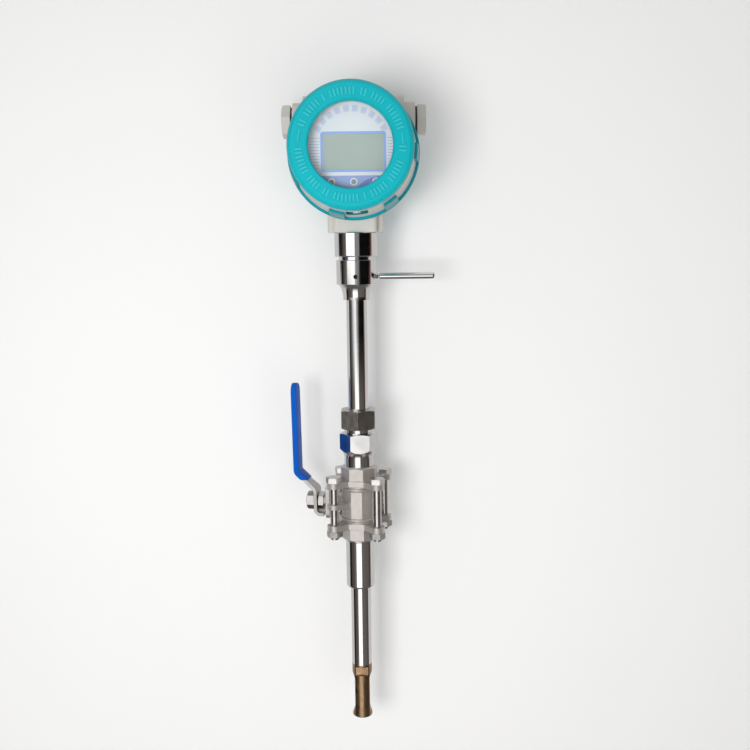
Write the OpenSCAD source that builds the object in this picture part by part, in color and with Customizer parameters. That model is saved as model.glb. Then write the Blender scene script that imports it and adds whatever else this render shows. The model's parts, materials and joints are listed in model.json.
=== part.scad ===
// Insertion thermal mass flow meter on a three piece ball valve.
// The probe slides through a compression gland and the open valve into the pipe.
// Origin: centre of the weld nipple's lower end. +Z runs up the probe, the display faces -Y.

/* [Weld nipple] */
// Outer diameter of the weld nipple
nipple_d = 26.9; // [25:0.1:34]
// Length of the weld nipple
nipple_l = 47.3; // [30:0.1:90]
// Radius that rounds the nipple's lower outer edge
nipple_edge = 2.6; // [0.5:0.1:3]
// Height of the weld bead under the valve
weld_h = 1.6; // [0.8:0.1:2.5]

/* [Ball valve] */
// End to end length of the valve
valve_l = 71; // [66:0.5:90]
// Turn of the valve about the probe
valve_turn = -9; // [-40:1:40]
// Bore through the valve and nipple
valve_bore = 20; // [19.6:0.1:20.6]
// Width across flats of the octagonal valve ends
octagon_af = 32; // [30:0.5:36]
// Thickness of each bolted flange
flange_t = 5.5; // [4:0.5:8]
// Distance between bolt axes along one side
bolt_pitch = 40.4; // [39:0.2:46]
// Radius of the lug round each bolt
lug_r = 6.8; // [6.4:0.1:7.4]
// Distance from the probe axis to the flange's flat sides
waist_r = 17.2; // [17:0.1:18.4]
// Height of the lip between each flange and the barrel
lip_h = 4.7; // [3:0.1:7]
// Height of the centre barrel
barrel_h = 26; // [25:0.5:32]
// Width across flats of the ten sided barrel
barrel_af = 32.4; // [32:0.2:36]
// Diameter of the bead where each end meets the barrel
bead_d = 35; // [34:0.5:37]
// Height of that bead
bead_h = 3.2; // [2:0.1:4]
// Diameter of the ball
ball_d = 26; // [25.6:0.1:26.6]
// Diameter of the ball chamber
chamber_d = 27.2; // [27:0.1:28]

/* [Body bolts] */
// Diameter of each body bolt
bolt_d = 8; // [6:0.5:8]
// Width across flats of the bolt heads and nuts
bolt_af = 13; // [11:0.5:13]
// Height of the bolt heads
bolt_head_h = 5; // [4:0.1:7]
// Height of the nuts
bolt_nut_h = 5.6; // [4:0.1:7]
// Bolt end that stands out of its nut
bolt_end_l = 2.4; // [1:0.1:6]

/* [Stem and lever] */
// Diameter of the valve stem
stem_d = 8; // [7:0.2:9]
// Distance across the stem's two flats in the lever
stem_flat = 6; // [5:0.1:6.6]
// Diameter of the stem's threaded end
stem_thread_d = 5.6; // [4:0.1:6]
// Outer diameter of the stem boss
boss_d = 18; // [16:0.5:20]
// Distance from the probe axis to the back of the stem pad
pad_r = 27; // [25:0.5:30]
// Thickness of the stem pad
pad_t = 4; // [3:0.2:5]
// Height of the stem pad
pad_h = 31; // [26:0.5:34]
// Width of the stem pad
pad_w = 20; // [18:0.5:22]
// Width across flats of the stem nut
stem_nut_af = 14.5; // [12:0.5:17]
// Height of the stem nut
stem_nut_h = 5.4; // [4:0.1:7]
// Thickness of one spring washer
washer_t = 1.1; // [0.8:0.1:1.6]
// Width across flats of the lever nut
lever_nut_af = 15; // [13:0.5:18]
// Height of the lever nut
lever_nut_h = 7.5; // [5:0.1:9]
// Thickness of the lever strap
strap_t = 3; // [2:0.1:4]
// Width of the lever strap at the stem
strap_w = 20; // [16:0.5:24]
// Width of the lever's handle
handle_w = 14; // [10:0.5:15.5]
// Drop of the strap below the stem axis
strap_drop = 11.5; // [10:0.1:16]
// Length of the stop tab under the stem
tab_l = 8; // [4:0.1:8.5]
// Clearance between the lever nut and the strap's crank
crank_clear = 0.3; // [0.2:0.1:6]
// Outward offset of the lever's handle
crank_out = 18.4; // [10:0.1:30]
// Height that the crank takes to reach that offset
crank_rise = 17; // [10:0.5:26]
// Height of the lever's tip above the stem axis
lever_h = 112; // [80:1:150]
// Radius of the strap's bends
bend_r = 5; // [3:0.5:8]
// Wall of the vinyl grip
grip_wall = 1.1; // [0.8:0.1:2]

/* [Compression gland] */
// Diameter of the gland's threaded end
gland_thread_d = 24.6; // [23:0.1:26]
// Depth of that thread in the valve
gland_thread_l = 13; // [8:0.5:14]
// Diameter of the gland's neck
gland_neck_d = 27.2; // [25.5:0.1:28]
// Height of the gland's neck
gland_neck_l = 8.1; // [4:0.1:20]
// Height of the cove between neck and hexagon
gland_cove_h = 7.6; // [2:0.1:8]
// Width across flats of the gland's hexagons
gland_af = 31; // [29:0.5:34]
// Height of the gland body's hexagon
gland_hex_h = 15.7; // [10:0.1:22]
// Turn of the gland body's hexagon
gland_turn = 6; // [-30:1:30]
// Gap between the gland's two hexagons
hex_gap = 4.4; // [1:0.1:6]
// Height of the gland nut
gland_nut_h = 17.9; // [16:0.1:28]
// Turn of the gland nut's hexagon
gland_nut_turn = 29; // [0:1:60]

/* [Probe] */
// Outer diameter of the probe tube
probe_d = 19; // [18:0.1:19.2]
// Wall of the probe tube
probe_wall = 1.6; // [1:0.1:3]
// Tube that stands out below the nipple
probe_out = 78; // [40:1:120]
// Tube between the gland nut and the collar
tube_free = 102.1; // [102:0.1:200]
// Length of the bronze sensor head
sensor_l = 53.5; // [52:0.5:70]
// Distance across the sensor head's milled flats
sensor_flat = 14; // [13:0.1:16]
// Radius of the cutter that leaves the flats' run-outs
cutter_r = 13; // [6:0.5:14]
// Width of the gas window
window_w = 11; // [10:0.1:12]
// Height of the gas window
window_h = 22; // [20:0.5:24]
// Diameter of each sensor pin
pin_d = 3; // [2:0.1:3.4]
// Length of each sensor pin in the window
pin_l = 12; // [8:0.5:13]
// Diameter of the signal cable
cable_d = 6; // [3:0.1:9]

/* [Collar] */
// Diameter of the probe collar
collar_d = 36.2; // [34:0.1:37]
// Height of the collar's straight part
collar_h = 21.9; // [18:0.1:30]
// Height of the cove under the collar
cove_h = 14.4; // [8:0.1:20]
// Diameter at the foot of the cove
cove_d = 24.3; // [23:0.1:28]
// Diameter of the clamping set screw
set_screw_d = 4; // [3:0.1:5]
// Diameter of the flow direction rod
rod_d = 6; // [4:0.1:8]
// Length of the rod outside the collar
rod_l = 53.8; // [30:0.1:90]
// Diameter of the rod's turned down neck
rod_neck_d = 3; // [2:0.1:3.6]
// Height of the rod above the collar's lower edge
rod_h = 7; // [6:0.1:12]

/* [Neck sleeve] */
// Diameter of the neck sleeve
sleeve_d = 38.7; // [36:0.1:42]
// Height of the neck sleeve
sleeve_h = 21.7; // [19:0.1:30]
// Height of the groove between collar and sleeve
swivel_gap = 3; // [2:0.1:5]
// Diameter of the collar's spigot in the sleeve
spigot_d = 26; // [24:0.1:27]
// Diameter of the sleeve's threaded stub
stub_d = 26; // [25:0.1:27]

/* [Housing] */
// Height of the housing's axis above the neck block's foot
axis_h = 68.2; // [67:0.1:90]
// How far the main body stands out beyond the display barrel
shell_step = 0.7; // [0:0.1:1.5]
// Radius of the display barrel behind its taper
barrel_r = 55.3; // [54.6:0.1:55.8]
// How much smaller the display barrel is at its front shoulder
taper_drop = 3.5; // [2.7:0.1:3.7]
// Radius of the threaded necks under the covers
thread_r = 47.6; // [47.2:0.1:48]
// Radius of the housing's chambers
inner_r = 43.5; // [43:0.1:44]
// Distance from the probe axis to the display barrel's front shoulder
shell_front = 70; // [66:0.5:80]
// Distance from the probe axis to the body's rear shoulder
shell_rear = 36; // [36:0.5:48]
// Length of each threaded neck
neck_l = 13; // [11:0.5:15]
// How far the castellated ring that joins the barrel to the body stands out beyond the barrel
union_step = 2.6; // [2.2:0.1:3.2]
// Depth of that ring
union_l = 10.5; // [9:0.1:12]
// Distance from the probe axis to the ring's rear face
union_rear = 16; // [15.5:0.1:18]
// Front face of the wall between the chambers
wall_front = 12; // [11:0.5:16]
// Thickness of the wall between the chambers
wall_t = 4; // [3:0.5:4]
// Width of the neck block's front part
block_w = 39; // [38:0.5:46]
// Width of the neck block's rear part
block_back_w = 50.6; // [48:0.2:56]
// Corner radius of the neck block
block_r = 4; // [2:0.5:6]
// Height of the conduit axis above the housing's axis
conduit_up = 31; // [28:0.5:32]
// Distance of the conduit axis behind the probe axis
conduit_back = 7; // [6.5:0.1:9]
// Radius of the inner conduit boss
boss_in_r = 22.4; // [21.5:0.1:22.8]
// How far inside the body's radius the wide part of a conduit boss ends
boss_in_drop = 11; // [8:0.5:16]
// Diameter of the outer conduit boss
boss_out_d = 33; // [32:0.5:36]
// How far inside the body's radius a conduit boss's outer face lies
boss_out_drop = 1.3; // [0:0.1:2]
// Diameter of the conduit thread
conduit_d = 20; // [18:0.5:22]
// Width across flats of the conduit plugs
plug_af = 26; // [25.6:0.1:30]
// Height of the conduit plugs' hexagons
plug_h = 7.8; // [5:0.1:12]
// Thickness of the plugs' gaskets
gasket_t = 2; // [1:0.1:3]
// Diameter of the plugs' gaskets
gasket_d = 25; // [24:0.5:27]
// Width of the ground screw's recess
recess_w = 19; // [16:0.5:20]
// Angle of the ground screw's recess to the right of straight down
recess_turn = 3.5; // [0:0.5:4]

/* [Covers] */
// Radius of the front cover
cover_r = 51.5; // [51:0.1:52.5]
// Depth of the front cover
cover_l = 29.7; // [29:0.1:34]
// Radius that rounds the front cover's outer edge
cover_edge = 7; // [3:0.5:9]
// Radius of the window opening
open_r = 34; // [33:0.5:35]
// Thickness of the cover's front lip
lip_t = 6.5; // [5:0.1:8]
// Thickness of the window glass
glass_t = 6; // [4:0.1:6.5]
// Radius of the window glass
glass_r = 40.3; // [39:0.1:41]
// Radius of the rear cover's rim
rim_r = 54.6; // [54:0.1:55]
// Thickness of the rear cover's rim
rim_t = 6.5; // [4:0.5:9]
// Radius of the rear cover's dome
dome_r = 52.5; // [51.5:0.1:53]
// Depth of the rear cover behind the barrel
rear_l = 25; // [24:0.5:32]
// Number of grip blocks on the castellated ring
block_count = 7; // [3:1:8]
// Length of each grip block
grip_block_l = 38; // [6:0.5:40]
// Angle that each grip block spans
grip_block_a = 14; // [8:1:16]
// Turn of the grip blocks
grip_block_turn = 36.4; // [34:0.1:38]
// Number of spanner notches in the rear cover's rim
notch_count = 8; // [4:1:12]
// Width of each spanner notch
notch_w = 9; // [6:0.5:12]

/* [Display] */
// Radius of the face plate
face_r = 40.5; // [40:0.1:41]
// Distance of the face plate's front ahead of the probe axis
face_y = 81; // [80.5:0.1:81.2]
// Thickness of the face plate
face_t = 1.5; // [1:0.1:1.6]
// Width of the screen
lcd_w = 49.6; // [46:0.1:52]
// Height of the screen
lcd_h = 28.6; // [26:0.1:30]
// Drop of the screen's centre below the housing's axis
lcd_drop = 4; // [3:0.1:5]
// Drop of the keys below the housing's axis
key_drop = 28; // [27:0.1:29]
// Distance between the keys
key_pitch = 18.2; // [14:0.1:19]
// Offset of the screen and keys to the right
display_x = 1.7; // [0:0.1:2.5]
// Diameter of each key
key_d = 3.8; // [3:0.1:4.6]
// Outer diameter of the raised ring round each key
ring_d = 6.2; // [5.6:0.1:8]
// Travel of each key
key_travel = 0.6; // [0.3:0.1:0.7]

/* [Hidden] */

// Fit between pieces that turn or slide, and between pieces that stay put
run_gap = 0.3;
fit_gap = 0.1;
// Overshoot of a cut past the face that it opens
cut = 1;
// Reach of one form into the next, so that both make one solid
join = 0.6;
$fn = 96;

teal = [0.05, 0.70, 0.74];
warm_grey = [0.80, 0.78, 0.75];
cast_steel = [0.60, 0.57, 0.53];
steel = [0.76, 0.76, 0.77];
bronze = [0.55, 0.38, 0.22];
white_plastic = [0.93, 0.93, 0.91];
black_rubber = [0.08, 0.08, 0.09];

// Heights along the probe, from the nipple's foot upward
valve_z = nipple_l + valve_l / 2;
valve_top = nipple_l + valve_l;
gland_hex_z = valve_top + gland_neck_l + gland_cove_h;
ferrule_z = gland_hex_z + gland_hex_h;
gland_nut_z = ferrule_z + hex_gap;
gland_top = gland_nut_z + gland_nut_h;
ferrule_h = 5;
ferrule_seat_z = gland_top - 10;
gland_male_r = gland_af / 2 - 3.2;
gland_corner = gland_af / sqrt(3);
cove_z = gland_top + tube_free;
collar_z = cove_z + cove_h;
collar_top = collar_z + collar_h;
sleeve_z = collar_top + swivel_gap;
block_z = sleeve_z + sleeve_h;
head_z = block_z + axis_h;

// Valve
bolt_half = bolt_pitch / 2;
flange_out = barrel_h / 2 + lip_h + flange_t;
octagon_r = octagon_af / 2 / cos(22.5);
valve_half = valve_l / 2;
arm_l = bolt_half * sqrt(2);
seal_t = 1;
seat_r = chamber_d / 2 - run_gap;
stem_bore = stem_d + 2 * run_gap;
packing_d = stem_d + 5;
packing_l = 6;
tongue_w = stem_d * 0.6;
slot_r = ball_d / 2 - 2.1;

// Distances along the stem, from the probe axis outward
pad_out = pad_r + pad_t;
washer_r = pad_out + 0.4;
stem_nut_r = washer_r + 2 * washer_t;
strap_r = stem_nut_r + stem_nut_h + 0.4;
lever_nut_r = strap_r + strap_t;
stem_end_r = lever_nut_r + lever_nut_h + 1.6;

// Probe
sensor_top = -probe_out;
sensor_foot = sensor_top - sensor_l;
tube_bore = probe_d - 2 * probe_wall;
tube_top = collar_z + 12;
flat_top = sensor_top - 16;
flat_foot = sensor_foot + 9.5;
window_top = sensor_top - 20;
wrench_flat = 15;
wrench_top = sensor_top - 2.2;
wrench_h = 8.3;
pin_seat = 3;
spigot_l = 8;
wire_bore = 14;
stub_l = 12;
plug_shank = 12;
rod_gap = 3.1;
screw_sink = 5.5;

// Head, with distances along the housing's axis counted forward from the probe axis
neck_front = shell_front + neck_l;
neck_rear = -shell_rear - neck_l;
union_front = union_rear + union_l;
union_seat = union_rear + 5;
shell_r = barrel_r + shell_step;
boss_in_x = shell_r - boss_in_drop;
boss_out_x = shell_r - boss_out_drop;
barrel_front_r = barrel_r - taper_drop;
union_r = barrel_r + union_step;
union_thread_r = barrel_r - 3.8;
union_lip_r = barrel_r - 5.3;
taper_rear = union_front + fit_gap + 0.8;
taper_front = shell_front - 0.8;
union_flange_t = 2;
wall_rear = wall_front - wall_t;
cover_back = shell_front + run_gap;
cover_front = cover_back + cover_l;
thread_bore_r = thread_r + 0.5;
gasket_h = 0.8;
glass_front = cover_front - lip_t - gasket_h;
glass_back = glass_front - glass_t;
rim_front = -shell_rear - run_gap;
rear_back = rim_front - rear_l;
rear_edge = 9;
rear_wall = 6;
oring_t = 2;
oring_inset = 6;
face_back = face_y - face_t;
board_t = 1.6;
board_r = inner_r - 2;
electronics_z = wall_front + 22;
post_xy = board_r * 0.627;
post_af = 6;
post_screw_d = 3;
switch_w = 5;
switch_h = 1.8;
lcd_rim = 1.6;
key_rise = 0.8;
key_flange_t = 0.6;
key_slack = 0.2;
display_z = face_back - run_gap - key_flange_t - key_travel - key_slack - switch_h - board_t;
ring_h = 0.5;
terminal_count = 8;
terminal_pitch = inner_r * 0.172;
terminal_w = terminal_count * terminal_pitch;
terminal_base = inner_r * 0.6;
terminal_top = inner_r * 0.32;
terminal_low = 9;
terminal_high = 15;
terminal_y = -8;
terminal_screw_d = 4;
recess_rear = 45;
recess_front = shell_front - 2;
screw_y = 58;
recess_depth = barrel_r - inner_r - 5.5;
ground_d = 4;
ground_head_d = 6.4;
ground_l = 4.5;
block_front = 15.8;
block_step = 3;
block_back = 30;
block_top = -shell_r * 0.8;

module on_valve() {
    translate([0, 0, valve_z]) rotate([0, 0, valve_turn]) children();
}

// Local z runs outward along the stem and local x runs up
module on_stem() {
    on_valve() rotate([0, -90, 0]) children();
}

// Local z runs toward the display side, local y runs up
module on_head() {
    translate([0, 0, head_z]) rotate([90, 0, 0]) children();
}

module at_bolts() {
    on_valve() for (x = [-1, 1], y = [-1, 1]) translate([x * bolt_half, y * bolt_half, 0]) children();
}

// Hexagonal prism with both or one of its ends chamfered by a cone
module hex_prism(af, h, top = true, foot = false) {
    corner = af / sqrt(3);
    bite = (corner - af / 2) * 0.8;
    intersection() {
        cylinder(r = corner, h = h, $fn = 6);
        rotate_extrude() polygon([
            [0, 0], [foot ? corner - bite : corner + cut, 0],
            [corner + (foot ? 0 : cut), foot ? bite * 0.6 : 0],
            [corner + (top ? 0 : cut), top ? h - bite * 0.6 : h],
            [top ? corner - bite : corner + cut, h], [0, h]]);
    }
}

module tube(outer_r, inner_r, h) {
    difference() {
        cylinder(r = outer_r, h = h);
        translate([0, 0, -cut]) cylinder(r = inner_r, h = h + 2 * cut);
    }
}

module rounded_rect(w, h, r) {
    square([w - 2 * r, h], center = true);
    square([w, h - 2 * r], center = true);
    for (x = [-1, 1], y = [-1, 1]) translate([x * (w / 2 - r), y * (h / 2 - r)]) circle(r = r, $fn = 32);
}

// Radius of the display barrel's taper at a distance along the head's axis
function taper_r(y) = barrel_r + (barrel_front_r - barrel_r) * (y - taper_rear) / (taper_front - taper_rear);

// Points of an arc from angle a to angle b
function arc(cx, cy, r, a, b, steps = 12) =
    [for (i = [0 : steps]) [cx + r * cos(a + (b - a) * i / steps), cy + r * sin(a + (b - a) * i / steps)]];

module weld_nipple() color(steel) {
    rotate_extrude() polygon(concat(
        [[valve_bore / 2, 0]],
        arc(nipple_d / 2 - nipple_edge, nipple_edge, nipple_edge, -90, 0),
        [[nipple_d / 2, nipple_l - weld_h], [nipple_d / 2 + 0.5, nipple_l - weld_h * 0.7],
            [nipple_d / 2 + 0.5, nipple_l - weld_h * 0.3], [nipple_d / 2, nipple_l],
            [valve_bore / 2, nipple_l]]));
}

// Flange outline: an octagonal core with a straight arm out to the lug round each bolt
module star_outline() {
    rotate(22.5) circle(r = waist_r / cos(22.5), $fn = 8);
    for (a = [45 : 90 : 315]) rotate(a) {
        translate([0, -lug_r]) square([arm_l, 2 * lug_r]);
        translate([arm_l, 0]) circle(r = lug_r);
    }
}

// One bolted end, drawn with its barrel face toward +Z at the valve's middle plane
module end_cap_solid() {
    chamfer = octagon_r - nipple_d / 2 - 1.2;
    neck_r = bead_d / 2 - 1;
    intersection() {
        rotate(22.5) translate([0, 0, -valve_half])
            cylinder(r = octagon_r, h = valve_half - flange_out + join, $fn = 8);
        rotate_extrude() polygon([[0, -valve_half], [octagon_r - chamfer, -valve_half],
            [octagon_r + cut, -valve_half + (chamfer + cut) * 0.6], [octagon_r + cut, -flange_out + cut],
            [0, -flange_out + cut]]);
    }
    translate([0, 0, -flange_out]) linear_extrude(flange_t) star_outline();
    rotate_extrude() polygon(concat(
        [[0, -flange_out + join], [neck_r, -flange_out + join], [neck_r, -barrel_h / 2 - bead_h]],
        arc(bead_d / 2 - bead_h / 2, -barrel_h / 2 - bead_h / 2, bead_h / 2, -90, 90, 10),
        [[0, -barrel_h / 2]]));
}

module cap_bolt_holes() {
    for (x = [-1, 1], y = [-1, 1]) translate([x * bolt_half, y * bolt_half, -flange_out - cut])
        cylinder(d = bolt_d + 2 * fit_gap, h = flange_t + 2 * cut);
}

module lower_end_cap() color(cast_steel) on_valve() difference() {
    end_cap_solid();
    cap_bolt_holes();
    translate([0, 0, -valve_half - cut]) cylinder(d = valve_bore, h = valve_half);
}

module upper_end_cap() color(cast_steel) on_valve() rotate([180, 0, 0]) difference() {
    end_cap_solid();
    cap_bolt_holes();
    translate([0, 0, -valve_half - cut]) cylinder(d = valve_bore, h = valve_half);
    translate([0, 0, -valve_half - cut])
        cylinder(d = gland_thread_d + 2 * fit_gap, h = gland_thread_l + 2 * fit_gap + cut);
}

// Ears that hold the stem side's bolts at the stem's height
module stem_ears() {
    ear_h = 4.6;
    ear_r = bolt_d / 2 + 2.5;
    translate([0, 0, -ear_h / 2]) linear_extrude(ear_h) for (a = [135, 225]) rotate(a) {
        translate([0, -ear_r]) square([arm_l, 2 * ear_r]);
        translate([arm_l, 0]) circle(r = ear_r);
    }
}

module valve_body() color(cast_steel) on_valve() difference() {
    union() {
        translate([0, 0, -barrel_h / 2]) cylinder(r = barrel_af / 2 / cos(18), h = barrel_h, $fn = 10);
        rotate([0, -90, 0]) cylinder(d = boss_d, h = pad_out);
        translate([-pad_out, 0, 0]) rotate([0, 90, 0]) linear_extrude(pad_t)
            rounded_rect(pad_h, pad_w, 5);
        stem_ears();
    }
    translate([0, 0, -barrel_h / 2 - cut]) cylinder(d = chamber_d, h = barrel_h + 2 * cut);
    for (s = [-1, 1]) translate([0, 0, s * barrel_h / 2 - seal_t])
        cylinder(r = chamber_d / 2 + 1.4, h = 2 * seal_t);
    for (y = [-1, 1]) translate([-bolt_half, y * bolt_half, -barrel_h / 2])
        cylinder(d = bolt_d + 2 * run_gap, h = barrel_h);
    rotate([0, -90, 0]) cylinder(d = stem_bore, h = pad_out + cut);
    translate([-pad_out + packing_l, 0, 0]) rotate([0, -90, 0]) cylinder(d = packing_d, h = packing_l + cut);
}

module body_bolts() color(steel) at_bolts() {
    translate([0, 0, flange_out]) hex_prism(bolt_af, bolt_head_h);
    translate([0, 0, -flange_out - bolt_nut_h - bolt_end_l])
        cylinder(d = bolt_d, h = 2 * flange_out + bolt_nut_h + bolt_end_l + join);
}

module body_nuts() color(steel) at_bolts() translate([0, 0, -flange_out - bolt_nut_h]) difference() {
    hex_prism(bolt_af, bolt_nut_h, true, true);
    translate([0, 0, -cut]) cylinder(d = bolt_d, h = bolt_nut_h + 2 * cut);
}

// Seat ring with the ball's seat turned into it
module seat() {
    difference() {
        translate([0, 0, ball_d / 2 * 0.62]) tube(seat_r, valve_bore / 2, barrel_h / 2 - ball_d / 2 * 0.62);
        sphere(d = ball_d + 2 * run_gap);
    }
}

module upper_seat() color(white_plastic) on_valve() seat();
module lower_seat() color(white_plastic) on_valve() rotate([180, 0, 0]) seat();

module body_seals() color(white_plastic) on_valve()
    for (s = [-1, 1]) translate([0, 0, s * (barrel_h / 2 - seal_t / 2) - seal_t / 2])
        tube(chamber_d / 2 + 1.4 - fit_gap, chamber_d / 2 + fit_gap, seal_t);

module stem_packing() color(white_plastic) on_stem() translate([0, 0, pad_out - packing_l])
    tube(packing_d / 2 - fit_gap, stem_bore / 2, packing_l);

// Gland body: a turned core with thread, neck and land, and a hexagon with a cove under it
module gland_body() color(steel) difference() {
    cove_foot = valve_top + gland_neck_l;
    cove_r = gland_cove_h + 2;
    union() {
        rotate_extrude() polygon([
            [0, valve_top - gland_thread_l], [gland_thread_d / 2, valve_top - gland_thread_l],
            [gland_thread_d / 2, valve_top], [gland_neck_d / 2, valve_top],
            [gland_neck_d / 2, cove_foot + join], [gland_male_r, cove_foot + join],
            [gland_male_r, ferrule_seat_z], [0, ferrule_seat_z]]);
        intersection() {
            translate([0, 0, cove_foot]) rotate(gland_turn)
                cylinder(r = gland_corner, h = gland_cove_h + gland_hex_h, $fn = 6);
            rotate_extrude() polygon(concat([[0, cove_foot]],
                arc(gland_neck_d / 2 + cove_r, cove_foot, cove_r, 180, 130, 8),
                [[gland_corner + cut, gland_hex_z + 2], [gland_corner + cut, ferrule_z - 1.5],
                    [gland_af / 2, ferrule_z], [0, ferrule_z]]));
        }
    }
    translate([0, 0, valve_top - gland_thread_l - cut])
        cylinder(d = probe_d + 2 * run_gap, h = gland_top - valve_top + gland_thread_l);
}

// Slit ferrule ring that the nut squeezes on the tube
module gland_ferrule() color(steel) translate([0, 0, ferrule_seat_z]) difference() {
    cylinder(r1 = gland_male_r, r2 = gland_male_r - 1.2, h = ferrule_h);
    translate([0, 0, -cut]) cylinder(d = probe_d + 2 * run_gap, h = ferrule_h + 2 * cut);
}

module gland_nut() color(cast_steel) translate([0, 0, gland_nut_z]) difference() {
    rotate(gland_nut_turn) hex_prism(gland_af, gland_nut_h, true, true);
    translate([0, 0, -cut])
        cylinder(r = gland_male_r + fit_gap, h = ferrule_seat_z + ferrule_h - gland_nut_z + cut);
    translate([0, 0, -cut]) cylinder(d = probe_d + 2 * run_gap, h = gland_nut_h + 2 * cut);
}

module ball() color(steel) on_valve() difference() {
    sphere(d = ball_d);
    cylinder(d = valve_bore, h = ball_d, center = true);
    translate([-slot_r - ball_d / 2, 0, 0]) cube([ball_d, tongue_w + 2 * fit_gap, ball_d], center = true);
}

module stem() color(steel) on_stem() difference() {
    tongue_r = slot_r + fit_gap;
    neck_r = ball_d / 2 + run_gap;
    union() {
        translate([0, 0, tongue_r]) cylinder(d = stem_d, h = lever_nut_r - tongue_r);
        translate([0, 0, lever_nut_r - join]) cylinder(d = stem_thread_d, h = stem_end_r - lever_nut_r + join);
    }
    for (m = [0, 1]) mirror([0, m, 0]) {
        translate([-stem_d, tongue_w / 2, 0]) cube([2 * stem_d, stem_d, neck_r]);
        translate([-stem_d, stem_flat / 2, strap_r]) cube([2 * stem_d, stem_d, strap_t + cut]);
    }
}

module stem_section(gap = 0) {
    intersection() {
        circle(d = stem_d + 2 * gap);
        square([stem_d + 2 * cut, stem_flat + 2 * gap], center = true);
    }
}

// Two cupped washers, back to back
module spring_washers() color(steel) on_stem() translate([0, 0, washer_r])
    for (i = [0, 1]) translate([0, 0, i * (washer_t - join)])
        tube(stem_nut_af / 2 - 0.6 - i * 0.4, stem_d / 2, washer_t + i * join);

module stem_nut() color(steel) on_stem() translate([0, 0, stem_nut_r]) difference() {
    rotate(10) hex_prism(stem_nut_af, stem_nut_h, true, true);
    translate([0, 0, -cut]) cylinder(d = stem_d, h = stem_nut_h + 2 * cut);
}

module lever_nut() color(steel) on_stem() translate([0, 0, lever_nut_r]) difference() {
    rotate(12) hex_prism(lever_nut_af, lever_nut_h);
    translate([0, 0, -cut]) cylinder(d = stem_thread_d, h = lever_nut_h + 2 * cut);
}

// Angle of the lever's crank, and the strap's middle line as seen along its width
strap_mid = strap_r + strap_t / 2;
crank_a = atan2(crank_out, crank_rise);
crank_tan = bend_r * tan(crank_a / 2);
crank_h = lever_nut_af / sqrt(3) + crank_clear + crank_tan;
grip_from = crank_h + crank_rise * 0.58;
function bend(cx, cy, a, b) = arc(cx, cy, bend_r, a, b, 6);
strap_path = concat(
    [[-strap_drop, strap_mid - tab_l]],
    arc(-strap_drop + bend_r, strap_mid - bend_r, bend_r, 180, 90, 6),
    bend(crank_h - crank_tan, strap_mid + bend_r, -90, -90 + crank_a),
    bend(crank_h + crank_rise + crank_tan, strap_mid + crank_out - bend_r, 90 + crank_a, 90),
    [[lever_h, strap_mid + crank_out + 1]]);

// Unit normal of a path at point i
function path_normal(path, i) = let (
    a = path[max(i - 1, 0)], b = path[min(i + 1, len(path) - 1)], d = (b - a) / norm(b - a)) [-d[1], d[0]];
function offset_path(path, by) = [for (i = [0 : len(path) - 1]) path[i] + by * path_normal(path, i)];
function reversed(list) = [for (i = [len(list) - 1 : -1 : 0]) list[i]];

// Strap of thickness t, drawn edge on and widened to w along local y
module strap_sweep(path, t, w) {
    translate([0, w / 2, 0]) rotate([90, 0, 0]) linear_extrude(w)
        polygon(concat(offset_path(path, t / 2), reversed(offset_path(path, -t / 2))));
}

// Outline of the strap seen from outside: wide at the stem, narrower along the handle, round at its tip
module strap_face(extra, low, high) {
    wide = strap_w / 2 + extra;
    narrow = handle_w / 2 + extra;
    polygon(concat([[low, -wide], [crank_h - crank_tan, -wide], [grip_from, -narrow]],
        arc(high - narrow, 0, narrow, -90, 90, 16),
        [[grip_from, narrow], [crank_h - crank_tan, wide], [low, wide]]));
}

// Part of the strap above a given height, made thicker all round by extra
module lever_solid(path, extra, high) {
    intersection() {
        strap_sweep(path, strap_t + 2 * extra, strap_w + 2 * extra);
        linear_extrude(strap_r + crank_out + 3 * strap_t) strap_face(extra, -strap_drop - strap_t, high);
    }
}

module lever() color(steel) on_stem() difference() {
    lever_solid(strap_path, 0, lever_h);
    linear_extrude(strap_r + strap_t + cut) stem_section();
}

module lever_grip() color([0.05, 0.35, 0.80]) on_stem() difference() {
    grip_top = lever_h + grip_wall;
    intersection() {
        lever_solid(concat(strap_path, [[grip_top, strap_mid + crank_out + 1]]), grip_wall, grip_top);
        translate([grip_from, -strap_w, 0]) cube([lever_h, 2 * strap_w, 2 * strap_r + crank_out]);
    }
    lever_solid(strap_path, 0, lever_h);
}

module probe_tube() color(steel) translate([0, 0, sensor_top])
    tube(probe_d / 2, tube_bore / 2, tube_top - sensor_top);

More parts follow.
